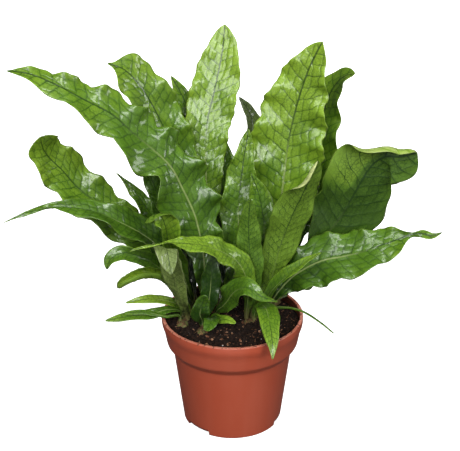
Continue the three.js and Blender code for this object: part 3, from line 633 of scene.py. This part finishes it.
        face=[(0.3, -0.8, 0.4), (0.2, -0.4, 0.9), (-0.2, 0, 1)],
    ),
    "rear_middle": dict(
        on="centre", place=17, width=34, widest=0.55, waves=7, ruffle=3, phase=1, base=2, keel=8, tone=0.4,
        midrib=[(10, 60, 144), (15, 92, 180), (20, 120, 190), (20, 146, 178)],
        face=[(0, -0.9, 0.4), (0, -0.8, 0.6), (0, 0, 1)],
    ),
    "rear_left_high": dict(
        on="centre", place=16, width=30, widest=0.55, waves=6, ruffle=3, phase=2, base=2, keel=8, tone=0.4,
        midrib=[(-18, 64, 150), (-29, 94, 192), (-44, 120, 210), (-58, 144, 205)],
        face=[(0.1, -0.9, 0.4), (0.2, -0.7, 0.7), (0, 0, 1)],
    ),
    "rear_low": dict(
        on="centre", place=18, width=28, widest=0.5, waves=4, ruffle=2.5, keel=14, tone=0.4,
        midrib=[(-18, 66, 118), (-26, 98, 128), (-34, 130, 118)],
        face=[(0, -0.5, 0.9), (0, 0, 1), (0, 0.3, 1)],
    ),
    "rear_small": dict(
        on="centre", place=19, width=22, widest=0.5, waves=3, ruffle=2, keel=14, tone=0.4,
        midrib=[(8, 52, 112), (20, 76, 119), (32, 98, 110)],
        face=[(0, -0.6, 0.8), (0, -0.2, 1), (0.2, 0.3, 1)],
    ),
}


def footOf(frond):
    # fronds stand along a rhizome in two rows, turn about
    sizes = rhizomeSizes
    line = [np.array(point, float) for point in rhizomes[frond["on"]]]
    rest = sizes["first place"] + sizes["place step"] * frond["place"]
    k = 0
    while k < len(line) - 2 and rest > np.linalg.norm(line[k + 1] - line[k]):
        rest -= np.linalg.norm(line[k + 1] - line[k])
        k += 1
    along = (line[k + 1] - line[k]) / np.linalg.norm(line[k + 1] - line[k])
    side = 1 if frond["place"] % 2 else -1
    return line[k] + along * rest + np.array([along[1], -along[0]]) * side * sizes["row offset"]


def curveThrough(points, steps=40):
    # a centripetal Catmull-Rom curve
    points = np.array(points, float)
    ends = np.vstack([2 * points[0] - points[1], points, 2 * points[-1] - points[-2]])
    u = np.linspace(0, 1, steps, endpoint=False)[:, None]
    spans = []
    for a, b, c, d in zip(ends, ends[1:], ends[2:], ends[3:]):
        ab, bc, cd = (np.linalg.norm(q - p) ** 0.5 for p, q in ((a, b), (b, c), (c, d)))
        start = ((b - a) / ab - (c - a) / (ab + bc) + (c - b) / bc) * bc
        end = ((c - b) / bc - (d - b) / (bc + cd) + (d - c) / cd) * bc
        square = 3 * (c - b) - 2 * start - end
        cube = 2 * (b - c) + start + end
        spans.append(b + start * u + square * u**2 + cube * u**3)
    return np.vstack([*spans, points[-1:]])


def spineOf(name, frond, stations=161):
    # the midrib as a line of even steps, with the way the blade's upper side faces at each
    foot = footOf(frond)
    lean = np.array(frond["midrib"][0][:2], float) - foot
    lean *= min(1, 0.5 / np.linalg.norm(lean))
    points = [(*foot, bladeSizes["foot level"]), (*(foot + lean), bladeSizes["collar"]), *frond["midrib"]]
    line = curveThrough(points)
    walked = np.concatenate([[0], np.cumsum(np.linalg.norm(np.diff(line, axis=0), axis=1))])
    at = np.linspace(0, walked[-1], stations)
    spots = np.column_stack([np.interp(at, walked, line[:, k]) for k in range(3)])
    along = np.gradient(spots, axis=0)
    along /= np.linalg.norm(along, axis=1)[:, None]
    turns = np.linspace(0, 1, len(frond["face"]))
    faces = zip(*frond["face"])
    facing = np.column_stack([np.interp(at / walked[-1], turns, column) for column in faces])
    facing -= along * np.sum(facing * along, axis=1)[:, None]
    facing /= np.linalg.norm(facing, axis=1)[:, None]
    mesh = bpy.data.meshes.new(name)
    mesh.from_pydata(spots.tolist(), [(i, i + 1) for i in range(stations - 1)], [])
    mesh.attributes.new("facing", "FLOAT_VECTOR", "POINT").data.foreach_set("vector", facing.ravel())
    return mesh, float(walked[-1])


def buildFrondTree():
    sizes = bladeSizes
    tree, given = geometryTree("frondBlade", {
        "Rows": 150, "Columns": 81, "Length": 200.0, "Width": 30.0, "Widest At": 0.5, "Base Power": 1.5,
        "Tip Power": 0.85, "Waist At": 0.5, "Waist Reach": 0.1, "Waist Depth": 0.0,
        "Waves": 5.0, "Calm": 1.0, "Ruffle": 2.0, "Lobe": 0.06, "Wave Phase": 0.0,
        "Keel": 10.0, "Roll": 0.0, "Roll From": 0.1, "Roll To": 0.7, "Rolled Half": 0.0,
        "Vein Spacing": 9.0, "Quilt": 0.5, "Swell": 1.8, "Tone": 0.5, "Faded Half": 0.0, "Draw": 1.0,
        "Upper Material": None, "Lower Material": None,
    })
    inputs = {"Size X": 1.0, "Size Y": 1.0, "Vertices X": given["Rows"], "Vertices Y": given["Columns"]}
    sheet = addNode(tree, "GeometryNodeMeshGrid", inputs)
    x, y, _ = split(meshPlace(tree))
    t = x + 0.5                         # 0 at the foot, 1 at the tip
    lap = y + 0.5                       # once round the section: over the top, back underneath
    u = 1.0 - abs(lap * 4.0 - 2.0)      # -1 and 1 at the margins, 0 on the midrib
    layer = jump(lap, 0.5, 1.0, -1.0)
    side = maths(tree, "SIGN", u)
    margin = abs(u)
    opened = smooth(t, 0.02, 0.16)      # the stalk is neither folded, rolled nor waved
    # the outline
    before = maths(tree, "MINIMUM", t / given["Widest At"], 1.0)
    after = maths(tree, "MAXIMUM", (t - given["Widest At"]) / (1.0 - given["Widest At"]), 0.0)
    rise = sine(before * (math.pi / 2)) ** given["Base Power"]
    fall = maths(tree, "MAXIMUM", cosine(after * (math.pi / 2)), 0.0) ** given["Tip Power"]
    footHalf = sizes["foot half width"]
    stalk = t * (sizes["tip half width"] - footHalf) + footHalf
    waist = smooth(abs(t - given["Waist At"]), 0.0, given["Waist Reach"], 1.0 - given["Waist Depth"], 1.0)
    half = stalk + (given["Width"] * 0.5 - footHalf) * rise * fall * waist
    tipEnd = (1.0 - t**80.0) ** 0.5
    footEnd = (1.0 - (1.0 - t) ** 200.0) ** 0.5
    closing = tipEnd * footEnd
    # the vein net, counted in side vein spacings
    spacing = given["Vein Spacing"]
    spot = joined(tree, t * given["Length"] / spacing, u * half / spacing, given["Draw"])
    sideVein, crossVein, _, tilt = veinNet(spot)
    veins = maths(tree, "SMOOTH_MIN", sideVein, crossVein * 1.3, 0.1)
    quilt = (smooth(veins, 0.0, 0.13) - 0.7 + tilt) * given["Quilt"]
    quilt = quilt * opened * smooth(margin, 1.0, 0.85)
    swell = (noiseAt(spot, 0.45, detail=1.0) - 0.5) * given["Swell"] * opened
    # the section: two halves folded at the midrib, rolled, and waved at the margin
    waves = given["Waves"] * jump(u, 0.0, given["Calm"], 1.0)
    wave = waves * t * (2 * math.pi) + given["Wave Phase"] + jump(u, 0.0, 0.0, 1.3)
    crimp = sine(wave * sizes["crimps a wave"] + swell * 1.5 + side)
    crest = abs(cosine(wave * 0.5)) * 2.0 - 1.0
    wide = half * (margin * opened * crest * given["Lobe"] + 1.0) * closing
    wide = wide * (margin**4.0 * opened * crimp * sizes["crimp width"] + 1.0)
    fold = given["Keel"] * opened * (math.pi / 180)
    rolled = jump(u * given["Rolled Half"], -0.0002) * (math.pi / 360)
    turn = given["Roll"] * smooth(t, given["Roll From"], given["Roll To"]) * rolled * margin
    chord = 1.0 - turn * turn / 6.0 + turn * turn * turn * turn / 120.0
    reach = wide * margin * chord
    out = reach * cosine(fold + turn)
    up = reach * sine(fold + turn)
    tipFade = maths(tree, "MINIMUM", (1.0 - t) * 6.0, 1.0)
    ripple = margin**1.6 * sine(wave) + margin**3.0 * crimp * sizes["crimp height"]
    lift = given["Ruffle"] * opened * tipFade * ripple
    # thickness: a thin blade, a raised midrib and a round stalk
    stem = smooth(t, 0.2, 0.03)
    ribbed = smooth(abs(u * half), 1.3, 0.2) * (1.0 - t * 0.8) * sizes["rib"] * opened
    extra = (1.0 - margin * 0.55) * stem * (sizes["foot half thickness"] - sizes["half thickness"])
    edge = maths(tree, "MAXIMUM", 1.0 - margin ** (10.0 - stem * 8.0), 0.0) ** 0.5
    thick = (ribbed + extra + sizes["half thickness"]) * edge * closing
    # onto the spine
    spine = addNode(tree, "GeometryNodeMeshToCurve", {0: given["Geometry"]})
    inputs = {"Curves": spine, "Value": named(tree, "facing"), "Factor": t}
    sample = addNode(tree, "GeometryNodeSampleCurve", inputs, mode="FACTOR", data_type="FLOAT_VECTOR")
    facing, at, along = others(sample, "Value", "Position", "Tangent")
    across = scaled(vectors(tree, "CROSS_PRODUCT", along, facing), side)
    tilt = fold + turn * 2.0
    upright = scaled(facing, cosine(tilt))
    normal = vectors(tree, "SUBTRACT", upright, scaled(across, sine(tilt)))
    height = lift + quilt + swell + layer * thick
    for way, distance in ((across, out), (facing, up), (normal, height)):
        at = vectors(tree, "ADD", at, scaled(way, distance))
    sheet = stored(sheet, "veinSpot", spot)
    faded = smooth(u * given["Faded Half"], 0.1, 0.3) * smooth(t, 0.6, 0.75) * 1.5
    sheet = stored(sheet, "bladeSpot", joined(tree, t, margin, faded + given["Tone"]))
    sheet = moved(stored(sheet, "underside", jump(lap, 0.5), "FLOAT", "FACE"), Position=scaled(at, mm))
    inputs = {"Geometry": sheet, "Distance": sizes["merge distance"] * mm}
    sheet = addNode(tree, "GeometryNodeMergeByDistance", inputs)
    sheet = shadedSmooth(addNode(tree, "GeometryNodeFlipFaces", {0: sheet}))
    under = named(tree, "underside", "FLOAT")
    return closeTree(sheet, (given["Upper Material"],), (given["Lower Material"], under))


frondInputs = {  # the tree's inputs that a frond's own values go to
    "Width": "width", "Widest At": "widest", "Base Power": "base", "Tip Power": "tip", "Waves": "waves",
    "Calm": "calm", "Ruffle": "ruffle", "Lobe": "lobe", "Wave Phase": "phase", "Keel": "keel",
    "Roll": "roll", "Rolled Half": "curled", "Faded Half": "faded", "Tone": "tone",
}
veinSpacing = {"share of width": 0.21, "least": 4.5, "most": 11.0}


def makeFronds():
    tree = buildFrondTree()
    green = [leafMaterial("frond" + side.capitalize(), side) for side in leafSides]
    grey = [leafMaterial("frondGrey" + side.capitalize(), side, **greyLook) for side in leafSides]
    cell = bladeSizes["cell"]
    total = 0
    for draw, (name, own) in enumerate(fronds.items(), 1):
        frond = {**usualFrond, **own}
        spine, length = spineOf(name, frond)
        width = frond["width"]
        relief = min(1, width / 24)     # slender blades are flatter
        spacing = max(veinSpacing["least"], width * veinSpacing["share of width"])
        values = {label: frond[key] for label, key in frondInputs.items()}
        values |= dict(zip(("Waist At", "Waist Reach", "Waist Depth"), frond["waist"]))
        values |= dict(zip(("Roll From", "Roll To"), frond["curl"]))
        coats = grey if name.endswith("_grey") else green
        values |= dict(zip(("Upper Material", "Lower Material"), coats))
        title = "frond" + "".join(word.capitalize() for word in name.split("_"))
        piece = grow(title, spine, tree, values | {
            "Rows": max(40, round(length / cell)), "Columns": 4 * max(5, round(width / 2 / cell)) + 1,
            "Length": length, "Vein Spacing": min(veinSpacing["most"], spacing), "Draw": draw * 7.3,
            "Quilt": bladeSizes["quilt"] * relief, "Swell": bladeSizes["swell"] * relief,
        })
        place(piece, "frond_leaf", "frond_" + name)
        total += triangles(piece)
    print("fronds:", len(fronds), "pieces,", total, "triangles")


makeFronds()


# The pot: moulded plastic, turned, with a rolled lip, a stepped shoulder and a notched foot ring

potSizes = {
    "height": 98, "rim radius": 60, "lip height": 9, "lip step": 2, "lip slope": 6, "lip draft": 0.6,
    "band bottom": 74.5, "band radius": 56.2, "shoulder radius": 50.8, "shoulder bottom": 68.5,
    "foot radius": 42.2, "foot draft": 0.4, "foot width": 2.6, "wall": 1.3, "floor": 4.2, "pad radius": 13,
    "notches": 3, "notch angle": 34, "first notch": -135, "notch reach": 8, "notch headroom": 0.4,
    "hole radius": 4, "hole gap": 0.5, "hole depth": 8, "facets": 192,
}
potLook = {
    "plastic": (0.43, 0.074, 0.033, 1), "pale": (0.50, 0.12, 0.069, 1), "stain": (0.05, 0.022, 0.014, 1),
    "worn": (0.72, 0.36, 0.26, 1), "roughness": 0.42,
    # where the inner wall is darkened, in metres: soil on it and painted shade
    "dirt and shade radius": (0.0584, 0.0576), "dirt and shade from": (0.088, 0.0895), "dirt and shade to": (0.0976, 0.0966),
    # the lip's edge, pale with wear and a painted highlight, and the height from which it is specked with
    # soil
    "lit edge height": (0.0974, 0.0979), "speck height": (0.0955, 0.098),
}


def rounded(corners, step=2.5):
    # the outline with each corner (radius, height, rounding) turned to an arc, and even steps between
    outline = []
    for k, (r, z, rounding) in enumerate(corners):
        here = np.array((r, z), float)
        if rounding == 0:
            outline.append(here)
            continue
        before = np.array(corners[k - 1][:2], float) - here
        after = np.array(corners[k + 1][:2], float) - here
        before /= np.linalg.norm(before)
        after /= np.linalg.norm(after)
        for share in np.linspace(0, 1, 6):
            outline.append(here + rounding * ((1 - share) ** 2 * before + share**2 * after))
    stepped = [outline[0]]
    for point in outline[1:]:
        gap = np.linalg.norm(point - stepped[-1])
        count = max(1, math.ceil(gap / step))
        start = stepped[-1]
        stepped += [start + (point - start) * n / count for n in range(1, count + 1)]
    return stepped


def turned(name, outline, facets):
    # a closed body of revolution, from an outline that starts and ends on the axis
    angles = np.linspace(0, 2 * math.pi, facets, endpoint=False)
    points = []
    rings = []
    for r, z in outline:
        if r < 1e-6:
            rings.append([len(points)] * facets)
            points.append((0, 0, z))
        else:
            rings.append(list(range(len(points), len(points) + facets)))
            points += [(r * math.cos(a), r * math.sin(a), z) for a in angles]
    faces = []
    for low, high in zip(rings, rings[1:]):
        for i in range(facets):
            j = (i + 1) % facets
            corners = [low[i], low[j], high[j], high[i]]
            faces.append(list(dict.fromkeys(corners)))
    mesh = bpy.data.meshes.new(name)
    mesh.from_pydata([tuple(c * mm for c in p) for p in points], [], faces)
    return mesh


def potInside():
    sizes = potSizes
    lip = sizes["rim radius"] - sizes["lip step"] - sizes["wall"]
    return [
        (sizes["foot radius"] + sizes["foot draft"] - sizes["wall"], sizes["floor"] + sizes["wall"], 2),
        (sizes["shoulder radius"] - sizes["wall"], sizes["shoulder bottom"], 1.5),
        (sizes["band radius"] - sizes["wall"], sizes["band bottom"], 1.5),
        (lip, sizes["height"] - sizes["lip height"], 1),
        (lip + sizes["lip draft"], sizes["height"], 0.5),
    ]


def potMaterial():
    look = potLook
    gloss = {"Coat Weight": 0.08, "Coat Roughness": 0.3}
    material, tree, shader = newMaterial("potPlastic", **gloss)
    at = objectPlace(tree)
    x, y, z = split(at)
    streak = noiseAt(joined(tree, x * 60.0, y * 60.0, z * 3.0), 1.0, detail=3.0)
    cloud = noiseAt(at, 25.0, detail=3.0)
    paled = smooth(streak * 0.6 + cloud * 0.4, 0.35, 0.7, 0.0, 0.35)
    colour = mixed(paled, look["plastic"], look["pale"])
    speck = noiseAt(at, 420.0, detail=4.0)
    radius = maths(tree, "SQRT", x * x + y * y)
    # soil and painted shade darken the wall above the bed, and the lip's edge is pale with wear and a
    # painted highlight
    dirtAndShade = smooth(radius, *look["dirt and shade radius"], 0.0, 0.9)
    dirtAndShade = dirtAndShade * smooth(z, *look["dirt and shade from"]) * smooth(z, *look["dirt and shade to"])
    worn = smooth(z, *look["lit edge height"], 0.0, 0.5) * smooth(cloud, 0.4, 0.55, 0.5, 1.0)
    nearLip = smooth(z, *look["speck height"])
    stain = smooth(speck + nearLip * 0.1, 0.62, 0.72) * nearLip
    # the lip's edge: wear and a painted highlight
    colour = mixed(worn, colour, look["worn"])
    colour = mixed(stain * 0.8, colour, look["stain"])
    # the inner wall above the bed: soil and painted shade in the stain colour
    colour = mixed(dirtAndShade * smooth(speck, 0.3, 0.5, 0.6, 1.0), colour, look["stain"])
    height = streak * 0.5 + noiseAt(at, 900.0) * 0.3
    dress(shader, colour, height, 0.25, 0.15, (cloud - 0.5) * 0.15 + stain * 0.3 + look["roughness"])
    return material


def makePot():
    sizes = potSizes
    height, rim, lipStep, floor = (sizes[k] for k in ("height", "rim radius", "lip step", "floor"))
    foot, footWidth, pad, wall = (sizes[k] for k in ("foot radius", "foot width", "pad radius", "wall"))
    lipMiddle = height - sizes["lip height"]
    slope = sizes["lip slope"] / 2
    inner = foot - footWidth
    outside = [
        (0, 0, 0), (pad, 0, 0.6), (pad + 3, floor, 1.2), (inner, floor, 1), (inner, 0, 0.6), (foot, 0, 1),
        (sizes["shoulder radius"] - 0.2, sizes["shoulder bottom"] - 0.8, 1.2),
        (sizes["band radius"] - 0.4, sizes["band bottom"] - 0.4, 1.2),
        (rim - lipStep, lipMiddle - slope, 2.5), (rim, lipMiddle + slope, 2.5), (rim, height, 0.7),
    ]
    inside = potInside()[::-1]
    bottom = [(foot - 10, floor + wall, 1), (pad + 4, floor + wall, 1.2), (pad + 1, wall, 1), (0, wall, 0)]
    pot = linked("potShell", turned("pot", rounded(outside + inside + bottom), sizes["facets"]))
    cutters = []
    for n in range(sizes["notches"]):
        turn = math.radians(sizes["first notch"] + 360 / sizes["notches"] * n)
        out = Vector((math.cos(turn), math.sin(turn), 0))
        width = 2 * foot * math.sin(math.radians(sizes["notch angle"] / 2))
        bpy.ops.mesh.primitive_cube_add(location=out * foot * mm, rotation=(0, 0, turn))
        cutters.append(bpy.context.object)
        headroom = sizes["notch headroom"]
        cutters[-1].scale = (sizes["notch reach"] * mm, width / 2 * mm, (floor - headroom) * mm)
        hole, depth = sizes["hole radius"], sizes["hole depth"]
        centre = out * (inner - hole - sizes["hole gap"]) + Vector((0, 0, floor))
        bpy.ops.mesh.primitive_cylinder_add(vertices=32, radius=hole * mm, depth=depth * mm,
                                            location=centre * mm)
        cutters.append(bpy.context.object)
    for cutter in cutters:
        cut = pot.modifiers.new("cut", "BOOLEAN")
        cut.object = cutter
        cut.operation = "DIFFERENCE"
        cut.solver = "EXACT"
    made = bpy.data.meshes.new_from_object(pot.evaluated_get(bpy.context.evaluated_depsgraph_get()))
    pot.modifiers.clear()
    pot.data = made
    for cutter in cutters:
        bpy.data.objects.remove(cutter)
    made.materials.clear()
    made.materials.append(potMaterial())
    made.shade_smooth()
    place(pot, "pot_plastic", "pot")
    print("pot:", triangles(pot), "triangles")


makePot()


# The soil: a rough bed with loose crumbs, bark and pale grit strewn over it. The counts are for the
# whole bed radius, and bits lie only within the strewn radius and above the lowest height.

soilSizes = {
    "rim level": 91.5, "mound": 2.2, "relief": 0.7, "clearance": 0.3, "facets": 160, "step": 1.3,
    "bed radius": 56, "strewn radius": 54.8, "lowest bit": 86,
}
strewnSorts = {  # how many of each sort, its smallest and largest bit, shape, sink, and its finish
    "soilCrumbs": dict(count=3200, low=0.9, high=3.2, flat=0.8, length=1.1, sink=0.12,
                       finish=("soilCrumb", "soil", "humus", 420.0)),
    "soilBark": dict(count=420, low=0.7, high=2.6, flat=0.45, length=1.9, sink=0.0,
                     finish=("soilBarkBit", "bark", "paleBark", 300.0)),
    "soilGrit": dict(count=90, low=0.5, high=1.4, flat=0.7, length=1.1, sink=-0.1,
                     finish=("soilGritBit", "grit", "grit", 500.0)),
}
soilLook = {
    "soil": (0.009, 0.006, 0.005, 1), "humus": (0.028, 0.015, 0.010, 1), "bark": (0.14, 0.055, 0.028, 1),
    "paleBark": (0.34, 0.19, 0.11, 1), "grit": (0.62, 0.58, 0.54, 1),
}


def soilMaterial(name, dark, light, grain):
    material, tree, shader = newMaterial(name, **{"Roughness": 0.9, "Specular IOR Level": 0.3})
    at = objectPlace(tree)
    cloud = noiseAt(at, grain, detail=5.0)
    colour = mixed(smooth(cloud, 0.38, 0.68), soilLook[dark], soilLook[light])
    dress(shader, colour, noiseAt(at, grain * 3, detail=5.0), 0.6, 0.4)
    return material


def buildSoilTree():
    sizes = soilSizes
    tree, given = geometryTree("soilBed", {
        "Rim Level": float(sizes["rim level"]), "Mound": sizes["mound"], "Relief": sizes["relief"],
        "Rim Radius": float(potSizes["rim radius"]), "Grain": 1.6, "Material": None,
    })
    inMm = scaled(meshPlace(tree), 1 / mm)
    x, y, z = split(inMm)
    reach = (x * x + y * y) ** 0.5 / given["Rim Radius"]
    rough = sine(x * 0.31 + 1.7) * cosine(y * 0.27) + sine(x * 0.53 - y * 0.41 + 0.6) * 0.7
    grain = (noiseAt(inMm, 0.22, detail=4.0) - 0.5) * given["Grain"] * 2.0
    rise = given["Mound"] * (1.0 - reach * reach) + (given["Relief"] * rough + grain) * (1.0 - reach**6.0)
    onTop = smooth(z, sizes["rim level"] - 0.02, sizes["rim level"] - 0.01)
    bed = moved(given["Geometry"], Offset=joined(tree, 0.0, 0.0, onTop * rise * mm))
    return closeTree(shadedSmooth(bed), (given["Material"],))


def buildScatterTree():
    # strews one sort of bit over the upward faces of a bed
    tree, given = geometryTree("strewn", {
        "Per Square Metre": 100000.0, "Size Low": 0.5, "Size High": 2.0, "Flatness": 0.7, "Length": 1.0,
        "Sink": 0.2, "Reach": 56.0, "Lowest": 86.0, "Seed": 1, "Material": None,
    })
    _, _, up = split(addNode(tree, "GeometryNodeInputNormal"))
    x, y, z = split(meshPlace(tree))
    reach = (x * x + y * y) ** 0.5 / mm
    highEnough = smooth(z / mm, given["Lowest"], given["Lowest"] + 0.5)
    fits = smooth(up, 0.55, 0.6) * highEnough * smooth(reach, given["Reach"] + 0.2, given["Reach"])
    seed = given["Seed"]
    points = scattered(given["Geometry"], Selection=fits, Density=given["Per Square Metre"], Seed=seed)
    bit = smallBall(tree)
    dents = centred(noiseAt(meshPlace(tree), 2.3, out=1))
    bit = moved(bit, Offset=scaled(dents, 0.8))
    inputs = {2: given["Size Low"], 3: given["Size High"], 8: seed}
    size = addNode(tree, "FunctionNodeRandomValue", inputs, out=1, data_type="FLOAT")
    turn = randomVector(tree, (-0.5, -0.5, 0.0), (0.5, 0.5, 6.283), seed)
    scale = scaled(joined(tree, given["Length"], 1.0, given["Flatness"]), size * mm)
    strewn = instanced(points, bit, turn, scale)
    down = joined(tree, 0.0, 0.0, size * given["Sink"] * (-mm))
    strewn = addNode(tree, "GeometryNodeTranslateInstances", {"Instances": strewn, "Translation": down})
    return closeTree(strewn, (given["Material"],))


def makeSoil():
    sizes = soilSizes
    clearance, level = sizes["clearance"], sizes["rim level"]
    wall = [(r - clearance, z, rounding) for r, z, rounding in potInside()]
    lip = wall[3][0]
    base = potSizes["floor"] + potSizes["wall"] + clearance
    pad, floorTop = potSizes["pad radius"], potSizes["wall"] + clearance
    outline = [
        (0, floorTop, 0), (pad + 1 - clearance, floorTop, 1), (pad + 4, base, 1), (wall[0][0], base, 2),
        *wall[1:4], (lip, level, 0), (0, level, 0),
    ]
    bedMesh = turned("soilBed", rounded(outline, sizes["step"]), sizes["facets"])
    tree = buildSoilTree()
    bed = grow("soilBed", bedMesh, tree, {"Material": soilMaterial("soilEarth", "soil", "humus", 260.0)})
    place(bed, "potting_soil", "soil")
    area = math.pi * (sizes["bed radius"] * mm) ** 2
    scatter = buildScatterTree()
    total = triangles(bed)
    for seed, (name, sort) in enumerate(strewnSorts.items(), 11):
        bits = grow(name, bed.data.copy(), scatter, {
            "Per Square Metre": sort["count"] / area, "Size Low": sort["low"], "Size High": sort["high"],
            "Flatness": sort["flat"], "Length": sort["length"], "Sink": sort["sink"], "Seed": seed,
            "Reach": sizes["strewn radius"], "Lowest": sizes["lowest bit"],
            "Material": soilMaterial(*sort["finish"]),
        })
        place(bits, "potting_soil")
        total += triangles(bits)
    print("soil:", len(strewnSorts) + 1, "pieces,", total, "triangles")


makeSoil()


# The rhizomes: creeping stems under brown papery scales

scaleSizes = {"length": 4.2, "width": 1.9, "thickness": 0.35, "per square metre": 90000.0, "lumps": 1.4}
rhizomeLook = {
    "bark": (0.10, 0.055, 0.025, 1), "scale": (0.26, 0.15, 0.06, 1), "green": (0.11, 0.14, 0.04, 1),
}


def rhizomeMaterial(name, dark, light):
    material, tree, shader = newMaterial(name, Roughness=0.8)
    at = objectPlace(tree)
    cloud = noiseAt(at, 300.0, detail=4.0)
    colour = mixed(smooth(cloud, 0.35, 0.7), rhizomeLook[dark], rhizomeLook[light])
    dress(shader, colour, noiseAt(at, 900.0, detail=4.0), 0.6, 0.3)
    return material


def buildRhizomeTree():
    sizes = scaleSizes
    tree, given = geometryTree("rhizomeStem", {
        "Radius": 6.0, "Lumps": sizes["lumps"], "Scales Per Square Metre": sizes["per square metre"],
        "Scale Length": sizes["length"], "Scale Width": sizes["width"],
        "Seed": 5, "Bark Material": None, "Scale Material": None,
    })
    line = addNode(tree, "GeometryNodeMeshToCurve", {0: given["Geometry"]})
    line = addNode(tree, "GeometryNodeResampleCurve", {"Curve": line, "Count": 60})
    share = addNode(tree, "GeometryNodeSplineParameter")
    tip = maths(tree, "MAXIMUM", 1.0 - abs(share * 2.0 - 1.0) ** 14.0, 0.0) ** 0.5
    ring = addNode(tree, "GeometryNodeCurvePrimitiveCircle", {"Resolution": 40, "Radius": 1.0 * mm})
    swelling = given["Radius"] * tip + 0.02
    inputs = {"Curve": line, "Profile Curve": ring, "Scale": swelling, "Fill Caps": True}
    stem = addNode(tree, "GeometryNodeCurveToMesh", inputs)
    lumps = centred(noiseAt(meshPlace(tree), 240.0, out=1))
    stem = moved(stem, Offset=scaled(lumps, given["Lumps"] * mm))
    points = scattered(stem, Density=given["Scales Per Square Metre"], Seed=given["Seed"])
    bit = smallBall(tree)
    lean = randomVector(tree, (-0.3, 0.15, 0.0), (0.3, 0.6, 6.283), given["Seed"])
    upright, = others(points, "Rotation")
    facing = addNode(tree, "FunctionNodeRotateRotation", {0: upright, 1: lean}, rotation_space="LOCAL")
    size = joined(tree, given["Scale Length"] * mm, given["Scale Width"] * mm, sizes["thickness"] * mm)
    scales = coated(instanced(points, bit, facing, size), given["Scale Material"])
    join = tree.nodes.new("GeometryNodeJoinGeometry")
    for part in (coated(stem, given["Bark Material"]), scales):
        feed(tree, part, join.inputs[0])
    return closeTree(shadedSmooth(Field(tree, join.outputs[0])))


def makeRhizomes():
    tree = buildRhizomeTree()
    bark = rhizomeMaterial("rhizomeBark", "bark", "green")
    scale = rhizomeMaterial("rhizomeScale", "bark", "scale")
    level, radius = rhizomeSizes["level"], rhizomeSizes["radius"]
    total = 0
    for seed, (name, line) in enumerate(rhizomes.items(), 21):
        points = [np.array((x, y, level), float) for x, y in line]
        for end, inward in ((0, 1), (-1, -2)):      # the round ends reach past the line
            outward = points[end] - points[inward]
            points[end] = points[end] + outward / np.linalg.norm(outward) * (radius - 0.5)
        links = [(i, i + 1) for i in range(len(points) - 1)]
        mesh = bpy.data.meshes.new(name)
        mesh.from_pydata([tuple(p * mm) for p in points], links, [])
        piece = grow("rhizome" + name.capitalize(), mesh, tree, {
            "Radius": radius - 0.4, "Seed": seed, "Bark Material": bark, "Scale Material": scale})
        place(piece, "rhizome_bark", "rhizome_" + name)
        total += triangles(piece)
    print("rhizomes:", len(rhizomes), "pieces,", total, "triangles")


makeRhizomes()


# The studio: a pale floor, soft lights, and the camera where the photograph was taken from

studio = {
    "floor": (0.9, 0.9, 0.9, 1), "floor glow": 0.95, "floor radius": 14, "floor height": -0.0003,
    "sky": (1, 1, 1, 1), "sky strength": 0.08, "lit place": (0, 0.03, 0.17),
    "camera": (-0.002, -0.8599, 0.5641), "camera pitch": 65.9, "lens": 90, "sensor": 36,
    "sight": (0.01, 50),
}
# Place, size and power in watts of each. The lights light the surfaces' colours, and the cards are
# seen only as reflections in the gloss.
softLights = {
    "keyLight": ((-0.5, -1.15, 1.05), 0.9, 17),
    "fillLight": ((0.7, -1.15, 0.85), 0.8, 13.5),
    "topLight": ((0.2, -0.7, 1.4), 0.8, 5),
    "backLight": ((0.1, 1.4, 1.0), 1.1, 20),
    "frontCard": ((0.26, -1.35, 0.48), 0.62, 8),
    "highCard": ((-0.5, -1.3, 0.93), 0.45, 3.5),
    "sideCard": ((1.1, -0.2, 0.15), 0.45, 3),
    "lowCard": ((-0.12, -0.62, 0.18), 0.37, 1.8),
}


def makeStudio():
    scene = bpy.context.scene
    world = bpy.data.worlds.new("studioSky")
    world.use_nodes = True
    background = world.node_tree.nodes["Background"]
    background.inputs[0].default_value = studio["sky"]
    background.inputs[1].default_value = studio["sky strength"]
    scene.world = world
    bpy.ops.mesh.primitive_circle_add(vertices=96, radius=studio["floor radius"], fill_type="NGON",
                                      location=(0, 0, studio["floor height"]))
    floor = bpy.context.object
    floor.name = "studioFloor"
    material, _, shader = newMaterial("floorPaper", Roughness=0.9)
    shader.inputs["Base Color"].default_value = studio["floor"]
    shader.inputs["Emission Color"].default_value = studio["floor"]
    shader.inputs["Emission Strength"].default_value = studio["floor glow"]
    floor.visible_diffuse = False       # the plant is lit by the lights and the sky alone
    floor.visible_glossy = False
    floor.data.materials.append(material)
    middle = Vector(studio["lit place"])
    for name, (at, size, watts) in softLights.items():
        light = bpy.data.lights.new(name, "AREA")
        light.shape = "DISK"
        light.size = size
        light.energy = watts
        lamp = linked(name, light)
        lamp.location = at
        lamp.rotation_euler = (middle - Vector(at)).to_track_quat("-Z", "Y").to_euler()
        lamp.visible_diffuse = "Card" not in name
        lamp.visible_glossy = "Card" in name
    camera = bpy.data.cameras.new("camera")
    camera.lens = studio["lens"]
    camera.sensor_width = studio["sensor"]
    camera.clip_start, camera.clip_end = studio["sight"]
    stand = linked("camera", camera)
    stand.location = studio["camera"]
    stand.rotation_euler = (math.radians(studio["camera pitch"]), 0, 0)
    scene.camera = stand
    scene.view_settings.view_transform = "Standard"
    print("studio:", len(softLights), "lights and the camera")


makeStudio()
